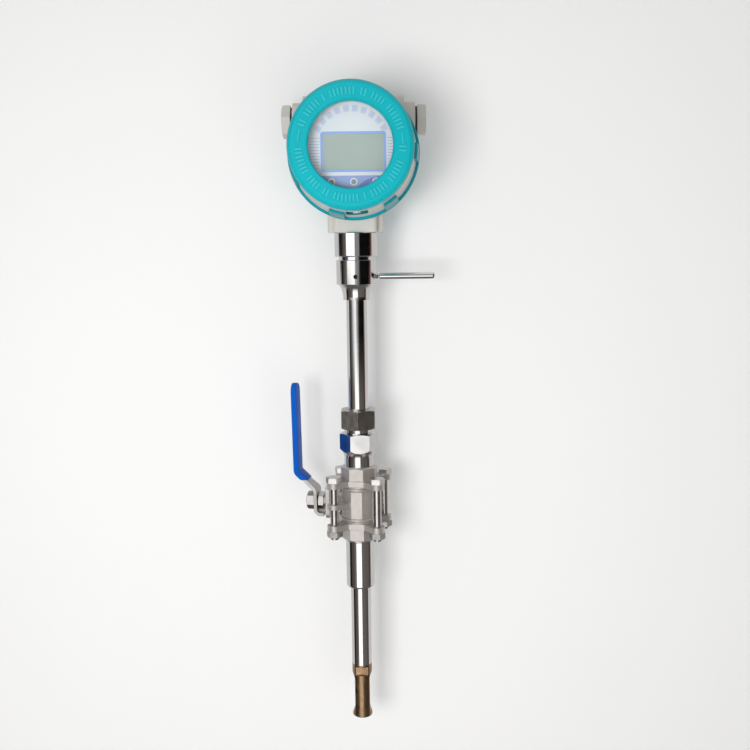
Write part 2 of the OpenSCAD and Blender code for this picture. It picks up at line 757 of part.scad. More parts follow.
// Bronze head: round bar, milled flats with cutter run-outs, wrench flats and a gas window
module sensor_head() color(bronze) difference() {
    union() {
        translate([0, 0, sensor_foot]) rotate_extrude() polygon([[0, 0], [probe_d / 2 - 0.6, 0],
            [probe_d / 2, 0.6], [probe_d / 2, sensor_l], [0, sensor_l]]);
        translate([0, 0, sensor_top - join]) cylinder(r = tube_bore / 2 - fit_gap, h = spigot_l + join);
    }
    for (m = [0, 1]) mirror([m, 0, 0]) translate([sensor_flat / 2, -probe_d / 2 - cut, 0]) {
        for (z = [flat_top, flat_foot]) translate([cutter_r, 0, z]) rotate([-90, 0, 0])
            cylinder(r = cutter_r, h = probe_d + 2 * cut);
        translate([0, 0, flat_foot]) cube([cutter_r, probe_d + 2 * cut, flat_top - flat_foot]);
    }
    for (m = [0, 1]) mirror([0, m, 0]) translate([-probe_d / 2, wrench_flat / 2, wrench_top - wrench_h])
        cube([probe_d, probe_d, wrench_h]);
    translate([-probe_d, -window_w / 2, window_top - window_h]) cube([2 * probe_d, window_w, window_h]);
    for (s = [-1, 1]) translate([0, s * window_w / 4, window_top - cut])
        cylinder(d = pin_d, h = pin_seat + cut, $fn = 32);
    translate([0, 0, window_top + pin_seat]) cylinder(d = cable_d + 2 * fit_gap, h = sensor_l, $fn = 32);
}

// Two heated sensor pins that hang in the window
module sensor_pins() color(steel) for (s = [-1, 1]) translate([0, s * window_w / 4, window_top]) {
    translate([0, 0, -pin_l + pin_d / 2]) cylinder(d = pin_d, h = pin_l - pin_d / 2 + pin_seat, $fn = 32);
    translate([0, 0, -pin_l + pin_d / 2]) sphere(d = pin_d, $fn = 32);
}

module signal_cable() color(black_rubber) translate([0, 0, window_top + pin_seat])
    cylinder(d = cable_d, h = collar_top - window_top - pin_seat, $fn = 32);

// Turned collar with its cove, and the spigot that the head turns on
module probe_collar() color(steel) difference() {
    rotate_extrude() polygon(concat(
        [[0, cove_z], [cove_d / 2, cove_z]],
        [for (i = [0 : 12]) [collar_d / 2 - (collar_d - cove_d) / 2 * cos(i * 7.5),
            cove_z + cove_h * (0.06 + 0.94 * sin(i * 7.5))]],
        [[collar_d / 2, collar_top - 0.4], [collar_d / 2 - 0.4, collar_top],
            [spigot_d / 2 + 2.8, collar_top], [spigot_d / 2 + 2.8, sleeve_z - fit_gap],
            [spigot_d / 2, sleeve_z - fit_gap], [spigot_d / 2, sleeve_z + sleeve_h - 3],
            [0, sleeve_z + sleeve_h - 3]]));
    translate([0, 0, cove_z - cut]) cylinder(d = probe_d, h = tube_top - cove_z + cut);
    translate([0, 0, cove_z]) cylinder(r = tube_bore / 2, h = head_z - cove_z);
    translate([0, 0, collar_z + rod_h]) rotate([90, 0, 0]) cylinder(d = set_screw_d, h = collar_d, $fn = 32);
    translate([collar_d / 2 - 5, 0, collar_z + rod_h]) rotate([0, 90, 0])
        cylinder(d = rod_neck_d, h = collar_d, $fn = 32);
}

// Headless screw, its hexagon socket facing out
module set_screw() color(cast_steel) translate([0, 0, collar_z + rod_h]) rotate([90, 0, 0]) difference() {
    screw_end = collar_d / 2 - screw_sink;
    translate([0, 0, probe_d / 2 + fit_gap])
        cylinder(d = set_screw_d, h = screw_end - probe_d / 2 - fit_gap, $fn = 32);
    translate([0, 0, screw_end - 1.6]) cylinder(d = set_screw_d * 0.55, h = collar_d, $fn = 6);
}

// Rod that shows the flow direction
module direction_rod() color(steel) translate([0, 0, collar_z + rod_h]) rotate([0, 90, 0]) {
    reach = collar_d / 2 + fit_gap;
    start = collar_d / 2 + rod_gap;
    seat = rod_neck_d / 2;
    translate([0, 0, reach - 5]) cylinder(d = rod_neck_d, h = rod_gap + 5 + join, $fn = 32);
    translate([0, 0, reach]) cylinder(r1 = seat + 1.1, r2 = seat + 0.7, h = rod_gap - 1, $fn = 48);
    rotate_extrude($fn = 48) polygon(concat(
        [[0, start], [rod_d / 2 - 0.4, start], [rod_d / 2, start + 0.4]],
        arc(rod_d / 2 - 2, collar_d / 2 + rod_l - 2, 2, 0, 90, 6), [[0, collar_d / 2 + rod_l]]));
}

module neck_sleeve() color(steel) difference() {
    rotate_extrude() polygon([[0, sleeve_z], [sleeve_d / 2 - 0.8, sleeve_z], [sleeve_d / 2, sleeve_z + 0.8],
        [sleeve_d / 2, block_z - 0.6], [sleeve_d / 2 - 0.6, block_z], [stub_d / 2, block_z],
        [stub_d / 2, block_z + stub_l], [0, block_z + stub_l]]);
    translate([0, 0, sleeve_z - cut]) cylinder(d = spigot_d + 2 * run_gap, h = sleeve_h - 2.6 + cut);
    translate([0, 0, sleeve_z]) cylinder(d = wire_bore, h = sleeve_h + stub_l + cut);
}

module boss_pair() {
    translate([0, conduit_up, -conduit_back]) rotate([0, 90, 0]) {
        cylinder(r = boss_in_r, h = 2 * boss_in_x, center = true);
        cylinder(d = boss_out_d, h = 2 * boss_out_x, center = true);
    }
}

// Part of the neck block, from a front to a rear distance along the housing's axis
module block_part(w, front, back) {
    translate([0, -axis_h, 0]) rotate([-90, 0, 0]) translate([0, (back - front) / 2, 0])
        linear_extrude(axis_h + block_top) rounded_rect(w, front + back, block_r);
}

// Explosion proof main body: rear chamber, conduit bosses, neck block and the seat of the display barrel
module housing_body() color(warm_grey) on_head() difference() {
    union() {
        rotate_extrude() polygon([
            [0, neck_rear], [thread_r - 1, neck_rear], [thread_r, neck_rear + 1],
            [thread_r, -shell_rear], [shell_r - 0.8, -shell_rear], [shell_r, -shell_rear + 0.8],
            [shell_r, union_rear - 0.8], [shell_r - 0.8, union_rear],
            [union_thread_r, union_rear], [union_thread_r, union_seat], [0, union_seat]]);
        boss_pair();
        block_part(block_w, block_front, block_back - join);
        block_part(block_back_w, block_step, block_back);
    }
    translate([0, 0, wall_front]) cylinder(r = inner_r, h = union_seat - wall_front + cut);
    translate([0, 0, neck_rear - cut]) cylinder(r = inner_r, h = wall_rear - neck_rear + cut);
    translate([0, conduit_up, -conduit_back]) rotate([0, 90, 0])
        cylinder(d = conduit_d, h = 2 * boss_out_x + 2 * cut, center = true);
    translate([0, -axis_h - cut, 0]) rotate([-90, 0, 0])
        cylinder(d = stub_d + 2 * fit_gap, h = stub_l + fit_gap + cut);
    translate([0, -axis_h, 0]) rotate([-90, 0, 0]) cylinder(d = wire_bore, h = axis_h);
    oring_groove(neck_rear + oring_inset - oring_t);
    at_posts() translate([0, 0, wall_front - 3]) cylinder(d = post_screw_d, h = 4, $fn = 32);
}

// Display barrel, flanged at its rear for the union ring and threaded in front for the cover
module display_barrel() color(warm_grey) on_head() difference() {
    flange_front = union_seat + union_flange_t;
    rear = union_front + fit_gap;
    rotate_extrude() polygon([
        [inner_r, union_seat], [union_thread_r, union_seat], [union_thread_r, flange_front],
        [union_lip_r - fit_gap, flange_front], [union_lip_r - fit_gap, rear],
        [barrel_r - 0.8, rear], [barrel_r, taper_rear],
        [barrel_front_r, taper_front], [barrel_front_r - 0.8, shell_front], [thread_r, shell_front],
        [thread_r, neck_front - 1], [thread_r - 1, neck_front], [inner_r, neck_front]]);
    oring_groove(neck_front - oring_inset);
    rotate([0, 0, recess_turn]) translate([0, -barrel_r, screw_y]) rotate([-90, 0, 0]) {
        recess_l = recess_front - recess_rear;
        translate([0, screw_y - recess_rear - recess_l / 2, -cut]) linear_extrude(recess_depth + cut)
            rounded_rect(recess_w, recess_l, recess_l / 5);
        cylinder(d = ground_d, h = recess_depth + ground_l, $fn = 32);
    }
}

// Castellated union ring that clamps the display barrel's flange on the main body
module union_ring() color(teal) on_head() {
    lip_back = union_seat + union_flange_t + fit_gap;
    rear = union_rear + fit_gap;
    bore_r = union_thread_r + fit_gap;
    tip = union_front + grip_block_l;
    rotate_extrude() polygon([
        [bore_r, rear], [union_r - 0.8, rear], [union_r, rear + 0.8],
        [union_r, union_front - 0.8], [union_r - 0.8, union_front], [union_lip_r, union_front],
        [union_lip_r, lip_back], [bore_r, lip_back]]);
    for (i = [0 : block_count - 1])
        rotate([0, 0, -90 + grip_block_turn - grip_block_a / 2 + i * 360 / block_count])
            rotate_extrude(angle = grip_block_a) polygon([
                [barrel_r + fit_gap, union_front - 2], [union_r - 0.4, union_front - 2],
                [union_r - 0.4, tip - 1.5], [union_r - 1.9, tip], [taper_r(tip) + 2 * fit_gap, tip],
                [taper_r(taper_rear) + 2 * fit_gap, taper_rear], [barrel_r + fit_gap, union_front]]);
}

module oring_groove(z) {
    translate([0, 0, z]) tube(thread_r + cut, thread_r - 1.8, oring_t + 2 * fit_gap);
}

module oring() {
    translate([0, 0, oring_t / 2 + fit_gap]) rotate_extrude()
        translate([thread_r - 0.7, 0]) circle(d = oring_t, $fn = 24);
}

module front_oring() color(black_rubber) on_head() translate([0, 0, neck_front - oring_inset]) oring();
module rear_oring() color(black_rubber) on_head()
    translate([0, 0, neck_rear + oring_inset - oring_t]) oring();

// Ground screw, its head in the barrel's recess
module ground_screw() color(steel) on_head() rotate([0, 0, recess_turn])
translate([0, -barrel_r, screw_y]) rotate([-90, 0, 0]) difference() {
    head_h = recess_depth - 2.6;
    union() {
        translate([0, 0, recess_depth - head_h]) cylinder(d = ground_head_d, h = head_h, $fn = 48);
        translate([0, 0, recess_depth - join]) cylinder(d = ground_d, h = ground_l + join - fit_gap, $fn = 32);
    }
    translate([0, 0, recess_depth - head_h - cut]) cylinder(d = ground_head_d * 0.53, h = 2 + cut, $fn = 6);
}

// Conduit plug: hexagon outside, threaded shank inside. Side is 1 on the right and -1 on the left
module conduit_plug(side, turn) {
    on_head() translate([side * boss_out_x, conduit_up, -conduit_back]) rotate([0, side * 90, 0]) {
        translate([0, 0, gasket_t]) rotate(turn) hex_prism(plug_af, plug_h);
        translate([0, 0, -plug_shank]) cylinder(d = conduit_d, h = plug_shank + gasket_t + join);
    }
}

module plug_gasket(side) {
    on_head() translate([side * boss_out_x, conduit_up, -conduit_back]) rotate([0, side * 90, 0])
        tube(gasket_d / 2, conduit_d / 2, gasket_t);
}

module left_conduit_plug() color(warm_grey) conduit_plug(-1, 12);
module right_conduit_plug() color(warm_grey) conduit_plug(1, 0);
module left_plug_gasket() color(black_rubber) plug_gasket(-1);
module right_plug_gasket() color(black_rubber) plug_gasket(1);

module at_posts() {
    for (a = [0 : 90 : 270]) rotate(a) translate([post_xy, post_xy, 0]) children();
}

module board() {
    difference() {
        cylinder(r = board_r, h = board_t);
        at_posts() translate([0, 0, -cut])
            cylinder(d = post_screw_d + 2 * fit_gap, h = board_t + 2 * cut, $fn = 32);
    }
}

// Main board with its transformer, capacitors and chips
module electronics_board() color([0.10, 0.35, 0.20]) on_head() translate([0, 0, electronics_z]) {
    board();
    translate([0, 0, board_t - join]) {
        translate([-board_r * 0.34, board_r * 0.05, 0]) linear_extrude(10)
            square([board_r * 0.43, board_r * 0.36], center = true);
        for (i = [0 : 2]) translate([board_r * (0.14 + i * 0.22), board_r * 0.34, 0])
            cylinder(d = board_r * 0.17, h = 9 - i, $fn = 32);
        for (i = [0 : 1]) translate([board_r * (0.1 + i * 0.36), -board_r * 0.29, 0])
            linear_extrude(2) square(board_r * 0.26, center = true);
    }
}

// Hexagonal standoffs on a rod each: wall to board, board to display board, display board to face plate
module standoffs() color(steel) on_head() at_posts() {
    rod_foot = wall_front - 2.8;
    stack = [[wall_front, electronics_z], [electronics_z + board_t, display_z],
        [display_z + board_t, face_back]];
    for (span = stack) translate([0, 0, span[0]]) cylinder(d = post_af, h = span[1] - span[0], $fn = 6);
    translate([0, 0, rod_foot]) cylinder(d = post_screw_d, h = face_back - join - rod_foot, $fn = 32);
}

module display_board() color([0.10, 0.35, 0.20]) on_head() translate([0, 0, display_z]) board();

module at_key(i) {
    translate([display_x + i * key_pitch, -key_drop, 0]) children();
}

module at_keys() {
    for (i = [-1 : 1]) at_key(i) children();
}

// Rectangle of the screen, wider on every side by extra
module lcd_outline(extra) {
    translate([display_x, -lcd_drop]) square([lcd_w + 2 * extra, lcd_h + 2 * extra], center = true);
}

module key_switches() color(black_rubber) on_head() translate([0, 0, display_z + board_t]) at_keys()
    linear_extrude(switch_h) square(switch_w, center = true);

module lcd_module() color(white_plastic) on_head() translate([0, 0, display_z + board_t])
    linear_extrude(face_back - display_z - board_t) lcd_outline(lcd_rim);

module lcd_glass() color([0.68, 0.73, 0.71]) on_head() translate([0, 0, face_back])
    linear_extrude(face_t - 0.5) lcd_outline(-fit_gap);

// Face plate with the screen's cut-out and a raised ring round each key
module face_plate() color(white_plastic) on_head() translate([0, 0, face_back]) difference() {
    union() {
        cylinder(r = face_r, h = face_t);
        at_keys() cylinder(d = ring_d, h = face_t + ring_h, $fn = 48);
    }
    translate([0, 0, -cut]) linear_extrude(face_t + 2 * cut) lcd_outline(0);
    translate([0, 0, -cut]) at_keys()
        cylinder(d = key_d + run_gap, h = face_t + ring_h + 2 * cut, $fn = 48);
}

// Key: a plunger in the face plate, kept in by its own flange
module key_button(i) {
    on_head() at_key(i) translate([0, 0, face_back - run_gap - key_flange_t]) {
        cylinder(d = key_d + 1.6, h = key_flange_t, $fn = 48);
        cylinder(d = key_d, h = key_flange_t + run_gap + face_t + key_rise, $fn = 48);
    }
}

module left_key() color([0.55, 0.56, 0.56]) key_button(-1);
module middle_key() color([0.55, 0.56, 0.56]) key_button(0);
module right_key() color([0.55, 0.56, 0.56]) key_button(1);

// Terminal strip in the rear chamber, with a step for each row of wires
module terminal_block() color([0.20, 0.45, 0.30]) on_head() translate([0, terminal_y, wall_rear]) difference() {
    rotate([0, 180, 0]) {
        linear_extrude(terminal_low) square([terminal_w, terminal_base], center = true);
        linear_extrude(terminal_high) square([terminal_w, terminal_top], center = true);
    }
    at_terminals() translate([0, 0, -terminal_high - cut]) {
        cylinder(d = terminal_screw_d + 0.4, h = 5 + cut, $fn = 32);
        translate([-2.2, -terminal_top / 2 - cut, 0]) cube([4.4, terminal_top + 2 * cut, 3]);
    }
}

module at_terminals() {
    for (i = [0 : terminal_count - 1])
        translate([(i - (terminal_count - 1) / 2) * terminal_pitch, 0, 0]) children();
}

module terminal_screws() color(steel) on_head() translate([0, terminal_y, wall_rear - terminal_high + 2])
    at_terminals() difference() {
        cylinder(d = terminal_screw_d, h = 3, $fn = 32);
        translate([-3, -0.4, -cut]) cube([6, 0.8, 0.8 + cut]);
    }

// Front cover: a deep cap with a window, screwed on the front neck
module front_cover() color(teal) on_head() rotate_extrude() polygon(concat(
    [[open_r, glass_front + gasket_h], [open_r, cover_front - 3.2]],
    arc(open_r + 2.4, cover_front - 2.4, 2.4, 180, 90, 6),
    arc(cover_r - cover_edge, cover_front - cover_edge, cover_edge, 90, 0),
    [[cover_r, cover_back + 0.8], [cover_r - 0.8, cover_back],
        [thread_bore_r, cover_back], [thread_bore_r, neck_front + 0.5], [glass_r + 0.3, neck_front + 0.5],
        [glass_r + 0.3, glass_front + gasket_h]]));

module window_gasket() color(black_rubber) on_head() translate([0, 0, glass_front])
    tube(glass_r, open_r + 1, gasket_h);

module window_glass() color([0.85, 0.92, 0.95, 0.35]) on_head() translate([0, 0, glass_back])
    cylinder(r = glass_r, h = glass_t);

module glass_retainer() color(cast_steel) on_head() translate([0, 0, neck_front + 0.5])
    tube(glass_r + 0.2, glass_r - 4, glass_back - neck_front - 0.5);

// Rear cover: domed cap with spanner notches round its rim
module rear_cover() color(teal) on_head() difference() {
    inside = rear_back + rear_wall;
    rim_back = rim_front - rim_t;
    rotate_extrude() polygon(concat(
        [[thread_bore_r, rim_front], [rim_r - 0.8, rim_front], [rim_r, rim_front - 0.8],
            [rim_r, rim_back + 1], [rim_r - 1, rim_back], [dome_r, rim_back]],
        reversed(arc(dome_r - rear_edge, rear_back + rear_edge, rear_edge, -90, 0)),
        [[0, rear_back], [0, inside], [inner_r - 4, inside], [inner_r, inside + 4],
            [inner_r, neck_rear - run_gap], [thread_bore_r, neck_rear - run_gap]]));
    for (i = [0 : notch_count - 1]) rotate(i * 360 / notch_count) translate([rim_r, 0, rim_front - rim_t / 2])
        cube([2 * (rim_r - dome_r), notch_w, rim_t + 2 * cut], center = true);
}

weld_nipple();
lower_end_cap();
valve_body();
upper_end_cap();
body_bolts();
body_nuts();
lower_seat();
upper_seat();
body_seals();
stem_packing();
gland_body();
gland_ferrule();
gland_nut();
ball();
stem();
spring_washers();
stem_nut();
lever();
lever_grip();
lever_nut();
probe_tube();
sensor_head();
sensor_pins();
signal_cable();
probe_collar();
set_screw();
direction_rod();
neck_sleeve();
housing_body();
display_barrel();
union_ring();
ground_screw();
left_conduit_plug();
right_conduit_plug();
left_plug_gasket();
right_plug_gasket();
front_oring();
rear_oring();
electronics_board();
standoffs();
display_board();
key_switches();
lcd_module();
lcd_glass();
face_plate();
terminal_block();
terminal_screws();
front_cover();
window_gasket();
window_glass();
glass_retainer();
rear_cover();
left_key();
middle_key();
right_key();
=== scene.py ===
"""Dresses an insertion flow meter: metal, paint and print, threads, raised cover marks and a studio."""

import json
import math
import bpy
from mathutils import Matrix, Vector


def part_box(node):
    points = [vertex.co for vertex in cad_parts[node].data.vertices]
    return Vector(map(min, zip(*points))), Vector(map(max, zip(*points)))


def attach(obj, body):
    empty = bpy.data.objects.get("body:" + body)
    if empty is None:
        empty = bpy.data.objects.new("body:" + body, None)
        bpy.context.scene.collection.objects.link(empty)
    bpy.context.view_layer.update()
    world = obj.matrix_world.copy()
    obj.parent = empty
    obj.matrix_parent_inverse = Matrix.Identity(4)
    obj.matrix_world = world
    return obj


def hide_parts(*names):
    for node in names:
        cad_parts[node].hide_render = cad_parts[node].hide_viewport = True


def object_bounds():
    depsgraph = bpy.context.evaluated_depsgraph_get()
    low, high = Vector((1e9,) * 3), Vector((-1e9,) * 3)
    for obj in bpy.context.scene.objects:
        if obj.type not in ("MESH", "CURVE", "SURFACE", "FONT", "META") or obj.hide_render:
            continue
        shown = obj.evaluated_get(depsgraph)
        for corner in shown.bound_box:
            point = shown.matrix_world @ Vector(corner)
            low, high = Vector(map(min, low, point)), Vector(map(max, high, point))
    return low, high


bl_info = {
    "name": "Insertion Flow Meter Dressing",
    "version": (1, 0, 0),
    "blender": (4, 5, 0),
    "location": "View3D > Sidebar > Flow Meter",
    "description": "Gives the flow meter its finishes, threads, printed face, cover marks and studio",
    "category": "Object",
}

import bmesh
import bpy
from mathutils import Matrix, Vector

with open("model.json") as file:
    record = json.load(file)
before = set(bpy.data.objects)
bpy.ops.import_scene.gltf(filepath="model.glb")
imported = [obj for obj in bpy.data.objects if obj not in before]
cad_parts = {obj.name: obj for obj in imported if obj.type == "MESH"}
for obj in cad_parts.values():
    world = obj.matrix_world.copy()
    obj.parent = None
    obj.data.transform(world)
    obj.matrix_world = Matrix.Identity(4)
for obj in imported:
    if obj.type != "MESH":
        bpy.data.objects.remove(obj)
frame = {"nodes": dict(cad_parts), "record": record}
CAD_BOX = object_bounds()
NODES = frame["nodes"]
RECORD = frame["record"]
MM = 0.001

FACE_LOW, FACE_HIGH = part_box("face_plate")
GLASS_LOW, GLASS_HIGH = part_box("lcd_glass")
COVER_LOW, COVER_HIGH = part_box("front_cover")
RING_LOW, RING_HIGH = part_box("union_ring")
BOLT_END_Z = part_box("body_bolts")[0].z
NUT_END_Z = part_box("body_nuts")[0].z
AXIS_Z = (FACE_LOW.z + FACE_HIGH.z) / 2
SCREEN_X = (GLASS_LOW.x + GLASS_HIGH.x) / 2
SCREEN_Z = (GLASS_LOW.z + GLASS_HIGH.z) / 2
KEY_Z = sum(corner.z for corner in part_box("middle_key")) / 2
COVER_R = (COVER_HIGH.x - COVER_LOW.x) / 2

# Sizes that the boxes of the solids don't tell, as part.scad has them
NECK_R = 47.6 * MM
NECK_L = 13 * MM
SHOULDER_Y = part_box("display_barrel")[0].y + NECK_L
SHELL_REAR = 36 * MM
WINDOW_R = 34 * MM
FACE_PLANE = GLASS_LOW.y - 0.5 * MM
BOLT_SQUARE = 20.2 * MM
VALVE_TURN = math.radians(-9)
# Depth of the union ring behind its blocks, and a radius between the barrel and the skin of the blocks
RING_DEPTH = 10.4 * MM
RING_FRONT = RING_HIGH.y - RING_DEPTH
BLOCK_SKIN = 54 * MM
# Two corners of a box round the ground screw's pocket, where the barrel's coat takes painted shade and a
# painted teal reflection
POCKET_LOW = (-6.2 * MM, -68.1 * MM, AXIS_Z - 56 * MM)
POCKET_HIGH = (12.6 * MM, -44.95 * MM, AXIS_Z - 44 * MM)

# Threads: depth under the skin, place of the first turn, length left bare and radius of the ridge
NECK_SINK = 0.05 * MM
NECK_START = 0.7 * MM
NECK_BARE = 7.5 * MM
NECK_RIDGE = 0.3 * MM
BOLT_CORE_R = 3.75 * MM
BOLT_START = 0.2 * MM
BOLT_BARE = 0.3 * MM
BOLT_RIDGE = 0.42 * MM
TURN_POINTS = 56
RIDGE_SIDES = 4

# Raised marks, in degrees round the cover, counter-clockwise from its right as it is seen
MARK_ROWS = ((13, 158), (180, 357))
MARK_GAPS = {"Gap": 8, "Other_Gap": 13}
DASHES = (169, 5.5)
ARC_POINTS = 180
# Each dash fills the middle one of three places on a short arc
DASH_PLACES = 3
DASH_SWEEP = 2
DASH_GAPS = {"Gap": 2, "Other_Gap": 4}
DASH_WIDTH_SHARE = 0.8
LIP_REACH = 1.1 * MM
LIP_SECTION = 0.45 * MM

# Print on the face plate
FILM = 0.06 * MM
BORDER_FILM = 0.15 * MM
BORDER_WIDTH = 4.2 * MM
BORDER_HEIGHT = 4.0 * MM
BORDER_ROUND = 2.2 * MM
BORDER_GAP = 0.2 * MM
BORDER_GAP_ROUND = 1.2 * MM
CORNER_STEPS = 8
BAND_EDGE = 1.0 * MM
BAND_OVER_KEYS = 5.0 * MM
BAND_STEPS = 48
SWOOSH_FILM = 1.5 * FILM
SWOOSH_X = 2 * MM
SWOOSH_REACH = 0.97
SWOOSH_BELLY = 0.8
SWOOSH_STEPS = 20
STRIPES = 11
STRIPE_PITCH = 2.35 * MM
STRIPE_SIZE = (8.0 * MM, 0.5 * MM, 3 * FILM)
STRIPE_BESIDE = 7.2 * MM
STRIPE_DROP = 1.0 * MM
# Places in the row of squares, of which the first stays bare
SQUARES = 11
SQUARE_ROW_R = 30.5 * MM
SQUARE_START = math.radians(15)
SQUARE_SWEEP = math.radians(137)
SQUARE_SIZE = (5.0 * MM, 4.4 * MM, 3 * FILM)
NO_GAPS = {"Gap": 20, "Other_Gap": 20}

# Angles: flat faces to merge in the grip, edges to round there, and edges that stay sharp in shading
FLAT = math.radians(2)
ROUNDED = math.radians(35)
CREASE = math.radians(30)


class FinishSettings(bpy.types.PropertyGroup):
    """Colours of the paints, metals and plastics."""

    paint_grey: bpy.props.FloatVectorProperty(
        name="Housing grey", description="Powder coat of the housing and its plugs",
        subtype="COLOR", size=4, min=0, max=1, default=(0.60, 0.575, 0.535, 1))
    paint_teal: bpy.props.FloatVectorProperty(
        name="Cover teal", description="Powder coat of both covers",
        subtype="COLOR", size=4, min=0, max=1, default=(0.0, 0.40, 0.455, 1))
    polished: bpy.props.FloatVectorProperty(
        name="Polished steel", description="Mirror finished tube, collars and gland",
        subtype="COLOR", size=4, min=0, max=1, default=(0.86, 0.85, 0.84, 1))
    cast: bpy.props.FloatVectorProperty(
        name="Cast steel", description="Blasted investment castings of the valve",
        subtype="COLOR", size=4, min=0, max=1, default=(0.69, 0.645, 0.605, 1))
    bronze: bpy.props.FloatVectorProperty(
        name="Sensor bronze", description="Turned sensor head",
        subtype="COLOR", size=4, min=0, max=1, default=(0.46, 0.30, 0.17, 1))
    vinyl: bpy.props.FloatVectorProperty(
        name="Grip blue", description="Dipped vinyl of the lever grip",
        subtype="COLOR", size=4, min=0, max=1, default=(0.0, 0.08, 0.43, 1))
    print_blue: bpy.props.FloatVectorProperty(
        name="Print blue", description="Border round the screen",
        subtype="COLOR", size=4, min=0, max=1, default=(0.22, 0.38, 0.80, 1))
    band_blue: bpy.props.FloatVectorProperty(
        name="Band blue", description="Band under the screen",
        subtype="COLOR", size=4, min=0, max=1, default=(0.23, 0.34, 0.69, 1))
    screen: bpy.props.FloatVectorProperty(
        name="Screen", description="Unlit liquid crystal screen",
        subtype="COLOR", size=4, min=0, max=1, default=(0.31, 0.40, 0.35, 1))


class DetailSettings(bpy.types.PropertyGroup):
    """Sizes of the details that dress the solids."""

    mark_step: bpy.props.FloatProperty(
        name="Mark step", description="Distance from one raised mark to the next",
        default=3.0 * MM, min=MM, unit="LENGTH")
    mark_length: bpy.props.FloatProperty(
        name="Mark length", description="Radial length of one raised mark",
        default=6.0 * MM, min=MM, unit="LENGTH")
    mark_width: bpy.props.FloatProperty(
        name="Mark width", description="Width of one raised mark",
        default=1.5 * MM, min=0.1 * MM, unit="LENGTH")
    mark_height: bpy.props.FloatProperty(
        name="Mark height", description="Height of the marks above the cover",
        default=0.7 * MM, min=0.1 * MM, unit="LENGTH")
    mark_radius: bpy.props.FloatProperty(
        name="Mark radius", description="Distance of the marks from the cover's centre",
        default=COVER_R - 9.7 * MM, min=MM, unit="LENGTH")
    dash_length: bpy.props.FloatProperty(
        name="Dash length", description="Length of the two dashes between the rows of marks",
        default=9.5 * MM, min=MM, unit="LENGTH")
    neck_pitch: bpy.props.FloatProperty(
        name="Cover thread pitch", description="Pitch of the threads under the covers",
        default=1.5 * MM, min=0.5 * MM, unit="LENGTH")
    bolt_pitch: bpy.props.FloatProperty(
        name="Bolt thread pitch", description="Pitch of the body bolts' threads",
        default=1.25 * MM, min=0.5 * MM, unit="LENGTH")
    block_taper: bpy.props.FloatProperty(
        name="Block taper", description="How much lower the ring's grip blocks are at their front ends",
        default=2.9 * MM, min=0, unit="LENGTH")
    grip_round: bpy.props.FloatProperty(
        name="Grip rounding", description="Radius along the edges of the vinyl grip",
        default=3.1 * MM, min=0.1 * MM, unit="LENGTH")


class StudioSettings(bpy.types.PropertyGroup):
    """Camera and light, as in a table top studio with a white sweep."""

    camera_at: bpy.props.FloatVectorProperty(
        name="Camera place", description="Where the camera stands", subtype="XYZ", unit="LENGTH",
        default=(0.0268, -0.8550, 0.3263))
    camera_azimuth: bpy.props.FloatProperty(
        name="Azimuth", description="Turn of the camera round the probe", subtype="ANGLE",
        default=math.radians(0.719))
    camera_tilt: bpy.props.FloatProperty(
        name="Tilt", description="How far the camera looks down", subtype="ANGLE",
        default=math.radians(8.154))
    camera_roll: bpy.props.FloatProperty(
        name="Roll", description="Roll of the camera about its own axis", subtype="ANGLE",
        default=math.radians(-0.722))
    lens: bpy.props.FloatProperty(
        name="Lens", description="Focal length on a 36 mm wide sensor", default=44.56, min=1)
    sweep_gap: bpy.props.FloatProperty(
        name="Sweep gap", description="Gap between the rear cover and the white sweep",
        default=9 * MM, min=MM, unit="LENGTH")


# Node trees

# Most of a noise's values lie between these
NOISE_RANGE = (0.3, 0.7)


class Nodes:
    """A node tree and short calls that add to it."""

    def __init__(self, tree):
        self.tree = tree

    def join(self, output, socket):
        self.tree.links.new(output, socket)

    def feed(self, socket, value):
        """The socket takes another node's output or a plain value."""
        if isinstance(value, bpy.types.NodeSocket):
            self.join(value, socket)
        else:
            socket.default_value = value

    def fill(self, node, **values):
        """Feeds a node's sockets by name. In the names, _ stands for a blank."""
        for label, value in values.items():
            self.feed(node.inputs[label.replace("_", " ")], value)
        return node

    def add(self, kind, **values):
        """A new node with these sockets fed."""
        return self.fill(self.tree.nodes.new(kind), **values)

    def math(self, operation, *values):
        """The result of a math node."""
        made = self.tree.nodes.new("ShaderNodeMath")
        made.operation = operation
        for socket, value in zip(made.inputs, values):
            self.feed(socket, value)
        return made.outputs[0]

    def split(self, vector):
        """The X, Y and Z of a vector."""
        return self.add("ShaderNodeSeparateXYZ", Vector=vector).outputs

    def ranged(self, fac, low, high, start, end):
        """fac between start and end becomes a number between low and high."""
        made = self.add(
            "ShaderNodeMapRange", Value=fac, From_Min=start, From_Max=end, To_Min=low, To_Max=high)
        return made.outputs["Result"]

    def blend(self, factor, first, second):
        """Mixes two colours, each a socket or a plain colour."""
        mix = self.tree.nodes.new("ShaderNodeMix")
        mix.data_type = "RGBA"
        return self.fill(mix, Factor=factor, A=first, B=second).outputs["Result"]


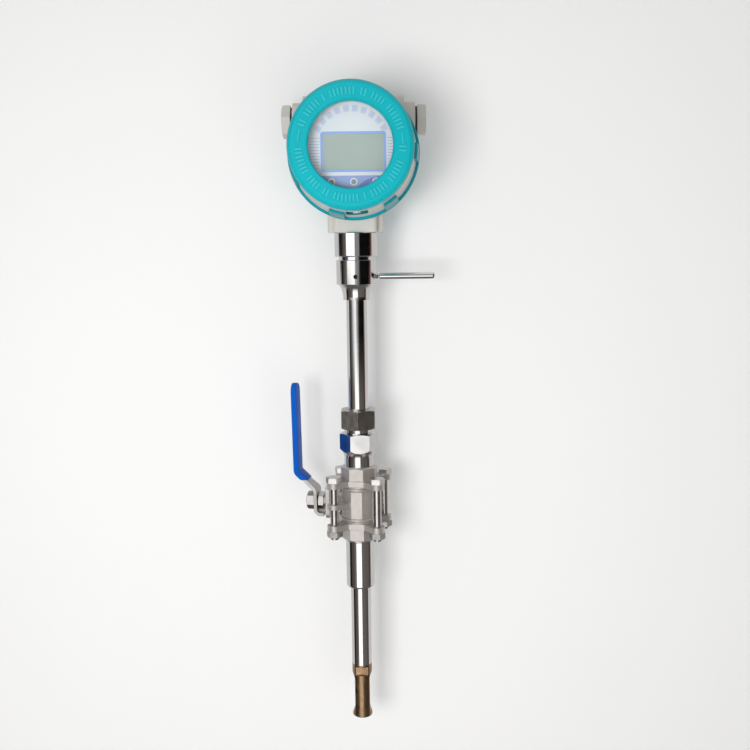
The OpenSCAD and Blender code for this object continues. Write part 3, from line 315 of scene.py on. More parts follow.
class Finish(Nodes):
    """One node based material: a principled surface and short calls that add pattern to it."""

    def __init__(self, name, colour, metallic=0.0, roughness=0.5):
        self.material = bpy.data.materials.new(name)
        self.material.use_nodes = True
        super().__init__(self.material.node_tree)
        self.surface = self.tree.nodes["Principled BSDF"]
        self.set(Base_Color=colour, Metallic=metallic, Roughness=roughness)
        self.material.diffuse_color = colour
        self.colour = colour
        self.place = self.add("ShaderNodeTexCoord").outputs["Object"]
        self.normal = None

    def set(self, **values):
        """Feeds the surface's own sockets."""
        self.fill(self.surface, **values)
        return self

    def stretched(self, x, y, z):
        """Object coordinates scaled by x, y and z, for streaks."""
        return self.add("ShaderNodeMapping", Vector=self.place, Scale=(x, y, z)).outputs["Vector"]

    def noise(self, scale, detail=4.0, vector=None):
        """Noise of about this many grains to the metre."""
        made = self.add("ShaderNodeTexNoise", Vector=vector or self.place, Scale=scale, Detail=detail)
        return made.outputs["Fac"]

    def tint(self, fac, colour, most=1.0, start=0.35, end=0.7):
        """Blends the base colour toward another where fac is high."""
        base = self.surface.inputs["Base Color"]
        before = base.links[0].from_socket if base.is_linked else self.colour
        self.join(self.blend(self.ranged(fac, 0.0, most, start, end), before, colour), base)
        return self

    def rough(self, fac, low, high):
        """Lets the roughness drift between low and high."""
        return self.set(Roughness=self.ranged(fac, low, high, *NOISE_RANGE))

    def shade(self, node):
        """The surface takes its normal from this node."""
        self.normal = node.outputs["Normal"]
        return self.set(Normal=self.normal)

    def round_edges(self, radius):
        """Softens sharp edges in the shading, as tumbling, polishing or paint does."""
        bevel = self.add("ShaderNodeBevel", Radius=radius)
        bevel.samples = 4
        return self.shade(bevel)

    def bump(self, fac, height, strength):
        """Relief of this height in the shading."""
        bump = self.add("ShaderNodeBump", Height=fac, Strength=strength, Distance=height)
        if self.normal:
            self.join(self.normal, bump.inputs["Normal"])
        return self.shade(bump)


# Material building


def darker(colour, share):
    return (colour[0] * share, colour[1] * share, colour[2] * share, 1)


def pocket_shade_mask(paint):
    """1 within the box of the ground screw's pocket, where the painted shade goes, and 0 outside it."""
    place = paint.split(paint.place)
    mask = 1.0
    for axis, low, high in zip("XYZ", POCKET_LOW, POCKET_HIGH):
        within = paint.math("COMPARE", place[axis], (low + high) / 2, (high - low) / 2)
        mask = paint.math("MULTIPLY", mask, within)
    return mask


def powder_coat(name, colour, pocket=None):
    """Baked powder paint: fine orange peel, a soft gloss, faint drift in tone, and, where a pocket colour is
    given, painted shade with a painted teal reflection in the ground screw's pocket.
    """
    paint = Finish(name, colour, roughness=0.32).round_edges(0.7 * MM)
    peel = paint.noise(900.0, detail=2.0)
    paint.tint(paint.noise(28.0), darker(colour, 0.90), most=0.6)
    # The pocket colour is painted shade with a painted reflection of the teal cover, darkening the pocket to
    # dark teal
    if pocket:
        paint.tint(pocket_shade_mask(paint), pocket, start=0.0, end=1.0)
    paint.rough(paint.noise(60.0), low=0.27, high=0.38)
    paint.bump(peel, height=0.05 * MM, strength=0.35)
    return paint.set(Coat_Weight=0.1, Coat_Roughness=0.18, Specular_IOR_Level=0.28).material


def mirror_steel(name, colour, roughness=0.09):
    """Polished steel with faint turning lines round the probe's axis."""
    steel = Finish(name, colour, metallic=1.0, roughness=roughness).round_edges(0.25 * MM)
    lines = steel.noise(1.0, detail=3.0, vector=steel.stretched(40, 40, 2600))
    steel.tint(steel.noise(35.0), darker(colour, 0.93), most=0.5)
    steel.rough(steel.noise(90.0), low=roughness - 0.03, high=roughness + 0.04)
    steel.bump(lines, height=0.012 * MM, strength=0.25)
    return steel.material


def turned_steel(name, colour, roughness=0.26, edge=0.35 * MM):
    """Machined steel, with fine tool marks and handling stains."""
    steel = Finish(name, colour, metallic=1.0, roughness=roughness).round_edges(edge)
    grain = steel.noise(1.0, detail=4.0, vector=steel.stretched(260, 260, 1500))
    steel.tint(steel.noise(120.0), darker(colour, 0.78), most=0.4)
    steel.rough(steel.noise(160.0), low=roughness - 0.07, high=roughness + 0.1)
    steel.bump(grain, height=0.003 * MM, strength=0.25)
    return steel.material


def brushed_steel(name, colour):
    """Rolled strap with lengthwise brushing."""
    steel = Finish(name, colour, metallic=1.0, roughness=0.3).round_edges(0.4 * MM)
    grain = steel.noise(1.0, detail=4.0, vector=steel.stretched(900, 900, 25))
    steel.tint(steel.noise(70.0), darker(colour, 0.8), most=0.5)
    steel.rough(grain, low=0.24, high=0.42)
    return steel.bump(grain, height=0.02 * MM, strength=0.3).material


def blasted_casting(name, colour):
    """Investment casting after shot blasting: matte, fine grained, with darker and paler patches."""
    cast = Finish(name, colour, metallic=0.75, roughness=0.42).round_edges(0.8 * MM)
    shot = cast.noise(1700.0, detail=3.0)
    cast.tint(cast.noise(240.0), darker(colour, 0.82), most=0.5)
    cast.tint(cast.noise(45.0), (0.50, 0.47, 0.43, 1), most=0.3)
    cast.rough(cast.noise(300.0), low=0.32, high=0.46)
    return cast.bump(shot, height=0.07 * MM, strength=0.4).material


def plated_screw(name, colour):
    """Bright zinc plate with a soft, slightly uneven gloss."""
    plate = Finish(name, colour, metallic=0.35, roughness=0.3).round_edges(0.25 * MM)
    plate.tint(plate.noise(200.0), darker(colour, 0.85), most=0.5)
    return plate.rough(plate.noise(150.0), low=0.24, high=0.38).material


def aged_bronze(name, colour):
    """Oiled bronze bar with turning lines and brown tarnish."""
    bronze = Finish(name, colour, metallic=1.0, roughness=0.3).round_edges(0.3 * MM)
    lines = bronze.noise(1.0, detail=3.0, vector=bronze.stretched(60, 60, 1900))
    bronze.tint(bronze.noise(60.0), (0.24, 0.14, 0.075, 1), most=0.5)
    bronze.tint(bronze.noise(300.0), (0.62, 0.48, 0.31, 1), most=0.15)
    bronze.rough(bronze.noise(130.0), low=0.22, high=0.44)
    return bronze.bump(lines, height=0.03 * MM, strength=0.35).material


def dipped_vinyl(name, colour):
    """Dipped vinyl grip: satin, slightly uneven, with a soft bloom."""
    vinyl = Finish(name, colour, roughness=0.36)
    vinyl.tint(vinyl.noise(22.0), (0.0, 0.12, 0.56, 1), most=0.35)
    vinyl.rough(vinyl.noise(70.0), low=0.30, high=0.45)
    vinyl.bump(vinyl.noise(260.0, detail=2.0), height=0.12 * MM, strength=0.25)
    return vinyl.set(Coat_Weight=0.05, Coat_Roughness=0.3, Specular_IOR_Level=0.12).material


def moulded_rubber(name, colour):
    """Moulded rubber with a dull, dusty skin."""
    rubber = Finish(name, colour, roughness=0.65).round_edges(0.3 * MM)
    rubber.tint(rubber.noise(150.0), (0.10, 0.10, 0.105, 1), most=0.4)
    return rubber.bump(rubber.noise(1100.0, detail=2.0), height=0.04 * MM, strength=0.4).material


def moulded_plastic(name, colour, roughness=0.45):
    """Plain moulded or machined plastic with a fine texture."""
    plastic = Finish(name, colour, roughness=roughness).round_edges(0.25 * MM)
    plastic.tint(plastic.noise(40.0), darker(colour, 0.9), most=0.5)
    plastic.rough(plastic.noise(220.0), low=roughness - 0.06, high=roughness + 0.08)
    return plastic.bump(plastic.noise(1400.0, detail=2.0), height=0.02 * MM, strength=0.3).material


def lacquered_board(name, colour):
    """Circuit board under green lacquer, with tracks showing as a pale grid."""
    board = Finish(name, colour, roughness=0.35)
    track = board.add("ShaderNodeTexBrick", Vector=board.place, Scale=120.0, Mortar_Size=0.03)
    board.tint(track.outputs["Fac"], (0.16, 0.45, 0.22, 1), most=0.8, start=0.0, end=1.0)
    return board.bump(track.outputs["Fac"], height=0.03 * MM, strength=0.4).set(Coat_Weight=0.4).material


def printed_plate(name, colour):
    """Printed polycarbonate sheet with a very fine matte grain."""
    plate = Finish(name, colour, roughness=0.4)
    plate.tint(plate.noise(18.0), darker(colour, 0.95), most=0.6)
    plate.rough(plate.noise(180.0), low=0.34, high=0.48)
    plate.bump(plate.noise(2200.0, detail=2.0), height=0.01 * MM, strength=0.4)
    return plate.set(Coat_Weight=0.2, Coat_Roughness=0.25).material


def dark_screen(name, colour):
    """Unlit liquid crystal screen: grey green, glossy, with its faint pixel grid."""
    screen = Finish(name, colour, roughness=0.16)
    pixel = screen.add("ShaderNodeTexChecker", Vector=screen.place, Scale=2600.0)
    screen.tint(pixel.outputs["Fac"], darker(colour, 0.95), most=0.5, start=0.0, end=1.0)
    screen.tint(screen.noise(14.0), (0.42, 0.47, 0.43, 1), most=0.5)
    return screen.rough(screen.noise(50.0), low=0.12, high=0.2).set(Coat_Weight=0.3).material


def window_glass(name, colour):
    """Flat toughened glass, nearly clear, that keeps a weak reflection."""
    glass = Finish(name, colour, roughness=0.03)
    glass.rough(glass.noise(30.0), low=0.02, high=0.05)
    glass.material.surface_render_method = "BLENDED"
    return glass.set(Alpha=0.07, IOR=1.5, Specular_IOR_Level=0.6).material


def make_finishes(colours):
    """Every material by the record's slot name, with the few that only details use."""
    return {
        "steel": turned_steel("turned_steel", (0.58, 0.56, 0.54, 1)),
        "cast_steel": blasted_casting("blasted_casting", colours.cast[:]),
        "polished_steel": mirror_steel("mirror_steel", colours.polished[:]),
        "bronze": aged_bronze("aged_bronze", colours.bronze[:]),
        "ptfe": moulded_plastic("white_fluoropolymer", (0.86, 0.86, 0.83, 1), 0.5),
        "grip": dipped_vinyl("blue_dipped_vinyl", colours.vinyl[:]),
        "grey_paint": powder_coat("grey_powder_coat", colours.paint_grey[:]),
        "teal_paint": powder_coat("teal_powder_coat", colours.paint_teal[:]),
        # Lighter teal of the raised cover marks: a painted highlight, as the raised marks catch light on
        # their edges
        "teal_marks": powder_coat("worn_teal_marks", (0.03, 0.50, 0.56, 1)),
        # Grey coat of the barrel, with painted shade and a painted teal reflection in the ground screw's
        # pocket
        "barrel_paint_pocket_shade": powder_coat("grey_barrel_coat", colours.paint_grey[:], (0.01, 0.16, 0.19, 1)),
        "gland_steel": mirror_steel("satin_gland_steel", (0.76, 0.75, 0.74, 1), 0.13),
        "black_steel": turned_steel("black_oxide", (0.05, 0.05, 0.05, 1), 0.35, 0.1 * MM),
        "zinc": plated_screw("zinc_plate", (0.86, 0.86, 0.85, 1)),
        # Darker teal of the union ring: painted shade, as the ring lies under the front cover
        "ring_paint_painted_shade": powder_coat("teal_ring_coat", (0.0, 0.28, 0.33, 1)),
        "nut_steel": turned_steel("dull_nut_steel", (0.66, 0.63, 0.59, 1), 0.34, 0.25 * MM),
        # Darker steel of the body nuts: painted shade for the dark surroundings they reflect under the valve
        "nuts_in_painted_shade": turned_steel("dark_nut_steel", (0.38, 0.37, 0.36, 1), 0.24, 0.25 * MM),
        "bolt_steel": turned_steel("bright_bolt_steel", (0.70, 0.68, 0.66, 1), 0.16, 0.1 * MM),
        "rubber": moulded_rubber("black_rubber", (0.022, 0.022, 0.025, 1)),
        "board": lacquered_board("green_circuit_board", (0.02, 0.16, 0.06, 1)),
        "black_plastic": moulded_plastic("black_moulded_plastic", (0.03, 0.03, 0.032, 1)),
        "white_plastic": moulded_plastic("white_moulded_plastic", (0.80, 0.80, 0.77, 1)),
        "face": printed_plate("printed_face_plate", (0.72, 0.77, 0.81, 1)),
        "screen": dark_screen("grey_green_screen", colours.screen[:]),
        "glass": window_glass("window_glass", (0.90, 0.95, 0.96, 1)),
        "key": moulded_plastic("grey_silicone_key", (0.24, 0.25, 0.26, 1), 0.55),
        "terminal": moulded_plastic("green_terminal_plastic", (0.04, 0.20, 0.09, 1), 0.4),
        "strap": brushed_steel("brushed_strap", (0.52, 0.50, 0.475, 1)),
        "print_blue": printed_plate("print_blue", colours.print_blue[:]),
        "band_blue": printed_plate("print_band_blue", colours.band_blue[:]),
        "swoosh_blue": printed_plate("print_swoosh_blue", (0.07, 0.13, 0.52, 1)),
        "stripe_blue": printed_plate("print_stripe_blue", (0.34, 0.44, 0.70, 1)),
        "sign_blue": printed_plate("print_sign_blue", (0.50, 0.60, 0.80, 1)),
    }


FINISHES = {}
OWN_FINISHES = {
    "lever": "strap", "spring_washers": "strap", "display_barrel": "barrel_paint_pocket_shade", "ground_screw": "zinc",
    "set_screw": "black_steel", "gland_body": "gland_steel", "gland_nut": "nut_steel",
    "body_bolts": "bolt_steel", "body_nuts": "nuts_in_painted_shade"}


def give_finish(obj, finish):
    """obj gets one material, by the name of its finish."""
    obj.data.materials.clear()
    obj.data.materials.append(FINISHES[finish])


# Mesh building


def link_mesh(name, mesh, finish, body):
    """A finished piece: linked, painted and attached to the body it rides on."""
    piece = bpy.data.objects.new(name, mesh)
    bpy.context.scene.collection.objects.link(piece)
    give_finish(piece, finish)
    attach(piece, body)
    return piece


def shade_smooth(mesh):
    """Smooth shading that keeps the sharp edges."""
    work = bmesh.new()
    work.from_mesh(mesh)
    for face in work.faces:
        face.smooth = True
    for edge in work.edges:
        edge.smooth = not edge.is_manifold or edge.calc_face_angle(0.0) < CREASE
    work.to_mesh(mesh)
    work.free()


def merged_copy(node):
    """A working copy of a CAD node's mesh with its vertices merged."""
    work = bmesh.new()
    work.from_mesh(NODES[node].data)
    bmesh.ops.remove_doubles(work, verts=work.verts, dist=0.01 * MM)
    return work


def ended(name, work):
    """The working copy as a mesh of this name. The copy itself is freed."""
    mesh = bpy.data.meshes.new(name)
    work.to_mesh(mesh)
    work.free()
    return mesh


def joined(name, meshes):
    """Several meshes as one mesh of this name."""
    work = bmesh.new()
    for mesh in meshes:
        work.from_mesh(mesh)
    return ended(name, work)


def plate_mesh(name, outline, thickness, hole=()):
    """A flat print on the face, from an outline of (x, z) points, with an optional hole of as many points."""
    work = bmesh.new()
    front, back, hole_front, hole_back = (
        [work.verts.new((x, y, z)) for x, z in points]
        for points in (outline, hole) for y in (FACE_PLANE - thickness, FACE_PLANE))
    for i in range(len(outline)):
        j = (i + 1) % len(outline)
        work.faces.new((front[j], front[i], back[i], back[j]))
        if hole:
            work.faces.new((front[i], front[j], hole_front[j], hole_front[i]))
            work.faces.new((back[j], back[i], hole_back[i], hole_back[j]))
            work.faces.new((hole_front[i], hole_front[j], hole_back[j], hole_back[i]))
    if not hole:
        work.faces.new(front)
        work.faces.new(back[::-1])
    bmesh.ops.recalc_face_normals(work, faces=work.faces)
    return ended(name, work)


def rounded_box(width, height, radius):
    """(x, z) points round a rectangle with round corners, centred on the screen."""
    points = []
    for corner in range(4):
        sign_x = 1 if corner in (0, 3) else -1
        sign_z = 1 if corner in (0, 1) else -1
        for i in range(CORNER_STEPS + 1):
            angle = math.radians(90 * corner + 90 * i / CORNER_STEPS)
            points.append((
                SCREEN_X + sign_x * (width / 2 - radius) + radius * math.cos(angle),
                SCREEN_Z + sign_z * (height / 2 - radius) + radius * math.sin(angle)))
    return points


def lower_arc(radius, start, end, steps):
    """(x, z) points on the lower part of a circle round the head's axis, by the angle from straight down."""
    points = []
    for i in range(steps + 1):
        angle = start + (end - start) * i / steps
        points.append((radius * math.sin(angle), AXIS_Z - radius * math.cos(angle)))
    return points


def round_ring(name, radius, section):
    """A thin round ring in the XY plane."""
    bpy.ops.mesh.primitive_torus_add(
        major_radius=radius, minor_radius=section, major_segments=128, minor_segments=10)
    made = bpy.context.object
    mesh = made.data
    bpy.data.objects.remove(made)
    mesh.name = name
    for polygon in mesh.polygons:
        polygon.use_smooth = True
    return mesh


def facing_front(y, z=AXIS_Z, x=0.0):
    """Turns a local XY drawing to face -Y, its local Z pointing to the viewer, at height z."""
    return Matrix.Translation((x, y, z)) @ Matrix.Rotation(math.radians(90), 4, "X")


def facing_back(y):
    """Turns a local XY drawing to face +Y, on the head's axis."""
    return Matrix.Translation((0, y, AXIS_Z)) @ Matrix.Rotation(math.radians(-90), 4, "X")


# Geometry Nodes


class Growth(Nodes):
    """A geometry node tree in the making, with named inputs and a Finish input for its material."""

    def __init__(self, name, **kinds):
        super().__init__(bpy.data.node_groups.new(name, "GeometryNodeTree"))
        self.tree.interface.new_socket("Geometry", in_out="INPUT", socket_type="NodeSocketGeometry")
        self.sockets = {}
        kinds["Finish"] = "Material"
        for label, kind in kinds.items():
            made = self.tree.interface.new_socket(
                label.replace("_", " "), in_out="INPUT", socket_type="NodeSocket" + kind)
            self.sockets[label] = made.identifier
        self.tree.interface.new_socket("Geometry", in_out="OUTPUT", socket_type="NodeSocketGeometry")
        self.inputs = self.add("NodeGroupInput").outputs

    def end(self, geometry):
        """Realizes instances, sets the material from the Finish input and closes the tree."""
        real = self.add("GeometryNodeRealizeInstances", Geometry=geometry)
        painted = self.add(
            "GeometryNodeSetMaterial", Geometry=real.outputs[0], Material=self.inputs["Finish"])
        self.add("NodeGroupOutput", Geometry=painted.outputs[0])
        return self

    def grow(self, name, finish, **values):
        """Evaluates the tree with these input values and returns the plain mesh."""
        holder = bpy.data.objects.new(name + "_source", bpy.data.meshes.new(name + "_source"))
        bpy.context.scene.collection.objects.link(holder)
        modifier = holder.modifiers.new("growth", "NODES")
        modifier.node_group = self.tree
        modifier[self.sockets["Finish"]] = FINISHES[finish]
        for label, value in values.items():
            modifier[self.sockets[label]] = value
        bpy.context.view_layer.update()
        depsgraph = bpy.context.evaluated_depsgraph_get()
        mesh = bpy.data.meshes.new_from_object(holder.evaluated_get(depsgraph), depsgraph=depsgraph)
        holder.modifiers.remove(modifier)
        bpy.data.objects.remove(holder)
        mesh.name = name
        return mesh


def thread_tree():
    """A helical ridge round the local Z axis, from z 0 up to Length."""
    growth = Growth("thread_ridge", Radius="Float", Length="Float", Pitch="Float", Ridge="Float")
    inputs = growth.inputs
    turns = growth.math("DIVIDE", inputs["Length"], inputs["Pitch"])
    helix = growth.add(
        "GeometryNodeCurveSpiral", Resolution=TURN_POINTS, Rotations=turns, Start_Radius=inputs["Radius"],
        End_Radius=inputs["Radius"], Height=inputs["Length"])
    section = growth.add("GeometryNodeCurvePrimitiveCircle", Resolution=RIDGE_SIDES, Radius=inputs["Ridge"])
    swept = growth.add(
        "GeometryNodeCurveToMesh", Curve=helix.outputs[0], Profile_Curve=section.outputs[0], Fill_Caps=True)
    return growth.end(swept.outputs[0])


def arc_tree():
    """Bars along an arc in the XY plane, their X along the radius.

    Counted from 0, the places whose number Gap or Other Gap divides stay bare, so the first always does."""
    growth = Growth(
        "arc_marks", Count="Int", Radius="Float", Start="Float", Sweep="Float", Bar="Vector", Gap="Int",
        Other_Gap="Int")
    inputs = growth.inputs
    arc = growth.add(
        "GeometryNodeCurveArc", Resolution=ARC_POINTS, Radius=inputs["Radius"],
        Start_Angle=inputs["Start"], Sweep_Angle=inputs["Sweep"])
    points = growth.add("GeometryNodeCurveToPoints", Curve=arc.outputs[0], Count=inputs["Count"])
    place = growth.add("GeometryNodeInputPosition")
    align = growth.add("FunctionNodeAlignEulerToVector", Vector=place.outputs[0])
    align.axis = "X"
    align.pivot_axis = "Z"
    bar = growth.add("GeometryNodeMeshCube", Size=inputs["Bar"])
    index = growth.add("GeometryNodeInputIndex").outputs[0]
    filled = [
        growth.math("GREATER_THAN", growth.math("MODULO", index, inputs[gap]), 0.5)
        for gap in ("Gap", "Other Gap")]
    bars = growth.add(
        "GeometryNodeInstanceOnPoints", Points=points.outputs["Points"], Instance=bar.outputs["Mesh"],
        Rotation=align.outputs[0], Selection=growth.math("MULTIPLY", *filled))
    return growth.end(bars.outputs[0])


def row_tree():
    """Thin bars in a row along the local Y axis, centred on the origin."""
    growth = Growth("print_rows", Count="Int", Pitch="Float", Bar="Vector")
    inputs = growth.inputs
    span = growth.math("MULTIPLY", growth.math("SUBTRACT", inputs["Count"], 1.0), inputs["Pitch"])
    start = growth.add("ShaderNodeCombineXYZ", Y=growth.math("MULTIPLY", span, -0.5))
    step = growth.add("ShaderNodeCombineXYZ", Y=inputs["Pitch"])
    line = growth.add(
        "GeometryNodeMeshLine", Count=inputs["Count"], Start_Location=start.outputs[0],
        Offset=step.outputs[0])
    bar = growth.add("GeometryNodeMeshCube", Size=inputs["Bar"])
    bars = growth.add("GeometryNodeInstanceOnPoints", Points=line.outputs[0], Instance=bar.outputs["Mesh"])
    return growth.end(bars.outputs[0])


# Operators


class METER_OT_finishes(bpy.types.Operator):
    """Give every solid of the meter its metal, paint, rubber or plastic"""

    bl_idname = "meter.finishes"
    bl_label = "Finishes"

    def execute(self, context):
        FINISHES.update(make_finishes(context.scene.meter_finish))
        for part in RECORD["subparts"]:
            give_finish(NODES[part["node"]], OWN_FINISHES.get(part["node"], part["material_slot"]))
        return {"FINISHED"}


class METER_OT_lever_grip(bpy.types.Operator):
    """Round the edges of the dipped vinyl grip"""

    bl_idname = "meter.lever_grip"
    bl_label = "Lever grip"

    def execute(self, context):
        work = merged_copy("lever_grip")
        bmesh.ops.dissolve_limit(work, angle_limit=FLAT, verts=work.verts, edges=work.edges)
        piece = link_mesh("soft_grip", ended("soft_grip", work), "grip", "lever")
        bevel = piece.modifiers.new("rounding", "BEVEL")
        bevel.width = context.scene.meter_detail.grip_round
        bevel.segments = 4
        bevel.angle_limit = ROUNDED
        depsgraph = context.evaluated_depsgraph_get()
        rounded = bpy.data.meshes.new_from_object(piece.evaluated_get(depsgraph), depsgraph=depsgraph)
        piece.modifiers.clear()
        piece.data = rounded
        shade_smooth(rounded)
        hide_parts("lever_grip")
        return {"FINISHED"}


class METER_OT_union_ring(bpy.types.Operator):
    """Taper the union ring's grip blocks toward the front cover, so that they hide behind it"""

    bl_idname = "meter.union_ring"
    bl_label = "Union ring"

    def execute(self, context):
        taper = context.scene.meter_detail.block_taper
        work = merged_copy("union_ring")
        for vert in work.verts:
            reach = (RING_FRONT - vert.co.y) / (RING_FRONT - RING_LOW.y)
            across = Vector((vert.co.x, 0, vert.co.z - AXIS_Z))
            if reach > 0 and across.length > BLOCK_SKIN:
                across *= 1 - reach * taper / across.length
                vert.co.x = across.x
                vert.co.z = AXIS_Z + across.z
        # The ring's darker teal is painted shade from the front cover
        piece = link_mesh("tapered_ring", ended("tapered_ring", work), "ring_paint_painted_shade", "head")
        shade_smooth(piece.data)
        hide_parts("union_ring")
        return {"FINISHED"}


class METER_OT_threads(bpy.types.Operator):
    """Cut the visible threads: both housing necks and the body bolts' ends"""

    bl_idname = "meter.threads"
    bl_label = "Threads"

    def execute(self, context):
        detail = context.scene.meter_detail
        growth = thread_tree()
        front = facing_front(SHOULDER_Y - NECK_START)
        rear = facing_back(SHELL_REAR + NECK_START)
        for name, place in (("front_neck_thread", front), ("rear_neck_thread", rear)):
            mesh = growth.grow(
                name, "grey_paint", Radius=NECK_R - NECK_SINK, Length=NECK_L - NECK_BARE,
                Pitch=detail.neck_pitch, Ridge=NECK_RIDGE)
            mesh.transform(place)
            link_mesh(name, mesh, "grey_paint", "head")
        ends = []
        for x, y in bolt_places():
            mesh = growth.grow(
                "bolt_end", "steel", Radius=BOLT_CORE_R, Length=NUT_END_Z - BOLT_END_Z - BOLT_BARE,
                Pitch=detail.bolt_pitch, Ridge=BOLT_RIDGE)
            mesh.transform(Matrix.Translation((x, y, BOLT_END_Z + BOLT_START)))
            ends.append(mesh)
        link_mesh("bolt_end_threads", joined("bolt_end_threads", ends), "steel", "valve")
        return {"FINISHED"}


def bolt_places():
    """Axes of the four body bolts, from the corners of the turned bolt square."""
    places = []
    for x, y in ((-1, -1), (1, -1), (1, 1), (-1, 1)):
        places.append((
            BOLT_SQUARE * (x * math.cos(VALVE_TURN) - y * math.sin(VALVE_TURN)),
            BOLT_SQUARE * (x * math.sin(VALVE_TURN) + y * math.cos(VALVE_TURN))))
    return places


class METER_OT_cover_marks(bpy.types.Operator):
    """Raise plain marks and two long dashes from the front cover, set back so that they stay in its size"""

    bl_idname = "meter.cover_marks"
    bl_label = "Cover marks"

    def execute(self, context):
        detail = context.scene.meter_detail
        y = COVER_LOW.y + detail.mark_height
        work = merged_copy("front_cover")
        for vert in work.verts:
            vert.co.y = max(vert.co.y, y)
        cover = link_mesh(
            "set_back_cover", ended("set_back_cover", work), "teal_paint", "front_cover")
        shade_smooth(cover.data)
        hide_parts("front_cover")
        growth = arc_tree()
        bar = Vector((detail.mark_length, detail.mark_width, 2 * detail.mark_height))
        dash = Vector((DASH_WIDTH_SHARE * detail.mark_width, detail.dash_length, 2 * detail.mark_height))
        meshes = []
        for first, last in MARK_ROWS:
            count = round(math.radians(last - first) * detail.mark_radius / detail.mark_step)
            meshes.append(growth.grow(
                "bars", "teal_marks", Count=count, Radius=detail.mark_radius, Start=math.radians(first),
                Sweep=math.radians(last - first), Bar=bar, **MARK_GAPS))
        for middle in DASHES:
            meshes.append(growth.grow(
                "dash", "teal_marks", Count=DASH_PLACES, Radius=detail.mark_radius,
                Start=math.radians(middle - DASH_SWEEP / 2), Sweep=math.radians(DASH_SWEEP), Bar=dash,
                **DASH_GAPS))
        # The marks' lighter teal is a painted highlight
        marks = joined("cover_marks", meshes)
        marks.transform(facing_front(y))
        link_mesh("cover_marks", marks, "teal_marks", "front_cover")
        lip = round_ring("window_lip", WINDOW_R + LIP_REACH, LIP_SECTION)
        lip.transform(facing_front(y))
        link_mesh("window_lip", lip, "teal_paint", "front_cover")
        return {"FINISHED"}


class METER_OT_face_print(bpy.types.Operator):
    """Print the face plate: border, band, swoosh, stripes and a row of plain squares over the screen"""

    bl_idname = "meter.face_print"
    bl_label = "Face print"

    def execute(self, context):
        wide = GLASS_HIGH.x - GLASS_LOW.x
        high = GLASS_HIGH.z - GLASS_LOW.z
        border = rounded_box(wide + BORDER_WIDTH, high + BORDER_HEIGHT, BORDER_ROUND)
        opening = rounded_box(wide + BORDER_GAP, high + BORDER_GAP, BORDER_GAP_ROUND)
        self.printed("screen_border", plate_mesh("screen_border", border, BORDER_FILM, opening), "print_blue")
        radius = (FACE_HIGH.x - FACE_LOW.x) / 2 - BAND_EDGE
        half = math.acos((AXIS_Z - KEY_Z - BAND_OVER_KEYS) / radius)
        band = lower_arc(radius, -half, half, BAND_STEPS)
        self.printed("lower_band", plate_mesh("lower_band", band, FILM), "band_blue")
        swoosh = lower_arc(radius, SWOOSH_X / radius, half, SWOOSH_STEPS)
        end_x, end_z = swoosh[-1]
        low_z = AXIS_Z - radius
        for i in range(1, SWOOSH_STEPS):
            turn = math.radians(90 * i / SWOOSH_STEPS)
            swoosh.append((
                end_x + (SWOOSH_X - end_x) * math.sin(turn) * SWOOSH_REACH,
                low_z + (end_z - low_z) * math.cos(turn) ** SWOOSH_BELLY))
        self.printed("band_swoosh", plate_mesh("band_swoosh", swoosh, SWOOSH_FILM), "swoosh_blue")
        growth = row_tree()
        for side, name in ((-1, "left_stripes"), (1, "right_stripes")):
            stripes = growth.grow(
                name, "stripe_blue", Count=STRIPES, Pitch=STRIPE_PITCH, Bar=Vector(STRIPE_SIZE))
            middle = SCREEN_X + side * (wide / 2 + STRIPE_BESIDE)
            stripes.transform(facing_front(FACE_PLANE, SCREEN_Z - STRIPE_DROP, middle))
            self.printed(name, stripes, "stripe_blue")
        squares = arc_tree().grow(
            "sign_row", "sign_blue", Count=SQUARES, Radius=SQUARE_ROW_R, Start=SQUARE_START,
            Sweep=SQUARE_SWEEP, Bar=Vector(SQUARE_SIZE), **NO_GAPS)
        squares.transform(facing_front(FACE_PLANE))
        self.printed("sign_row", squares, "sign_blue")
        return {"FINISHED"}

    def printed(self, name, mesh, ink):
        """One print on the face plate."""
        link_mesh(name, mesh, ink, "head")


class METER_OT_studio(bpy.types.Operator):
    """Set up the white sweep, the soft lamps, the surroundings that metal reflects and the camera"""

    bl_idname = "meter.studio"
    bl_label = "Studio"

    def execute(self, context):
        studio = context.scene.meter_studio
        make_sweep(CAD_BOX[1].y + studio.sweep_gap, CAD_BOX[0].z - FLOOR_DROP)
        for name, (place, aim, size, power) in LAMPS.items():
            make_lamp(name, place, aim, size, power)
        make_surroundings()
        make_camera(studio)
        context.scene.view_settings.view_transform = "Standard"
        return {"FINISHED"}


# Studio

# Lamps by name: place, aim, size and power
LAMPS = {
    "key_softbox": ((-0.26, -1.02, 0.24), (0, 0, 0.20), 0.30, 5.7),
    "front_fill": ((0.35, -1.4, -0.30), (0.10, 0, 0.0), 1.0, 6.2)}
# The sweep: floor under the meter, radius of its bend, half its width, depth of its floor, height of its wall
FLOOR_DROP = 0.16
SWEEP_BEND = 0.12
SWEEP_STEPS = 12
SWEEP_HALF = 3.0
SWEEP_FLOOR = 2.2
SWEEP_WALL = 2.6
PAPER_TONE = (0.865, 0.862, 0.856, 1)
PAPER_SHADE = (0.85, 0.847, 0.841, 1)
SENSOR_WIDTH = 36
FAR_CLIP = 50


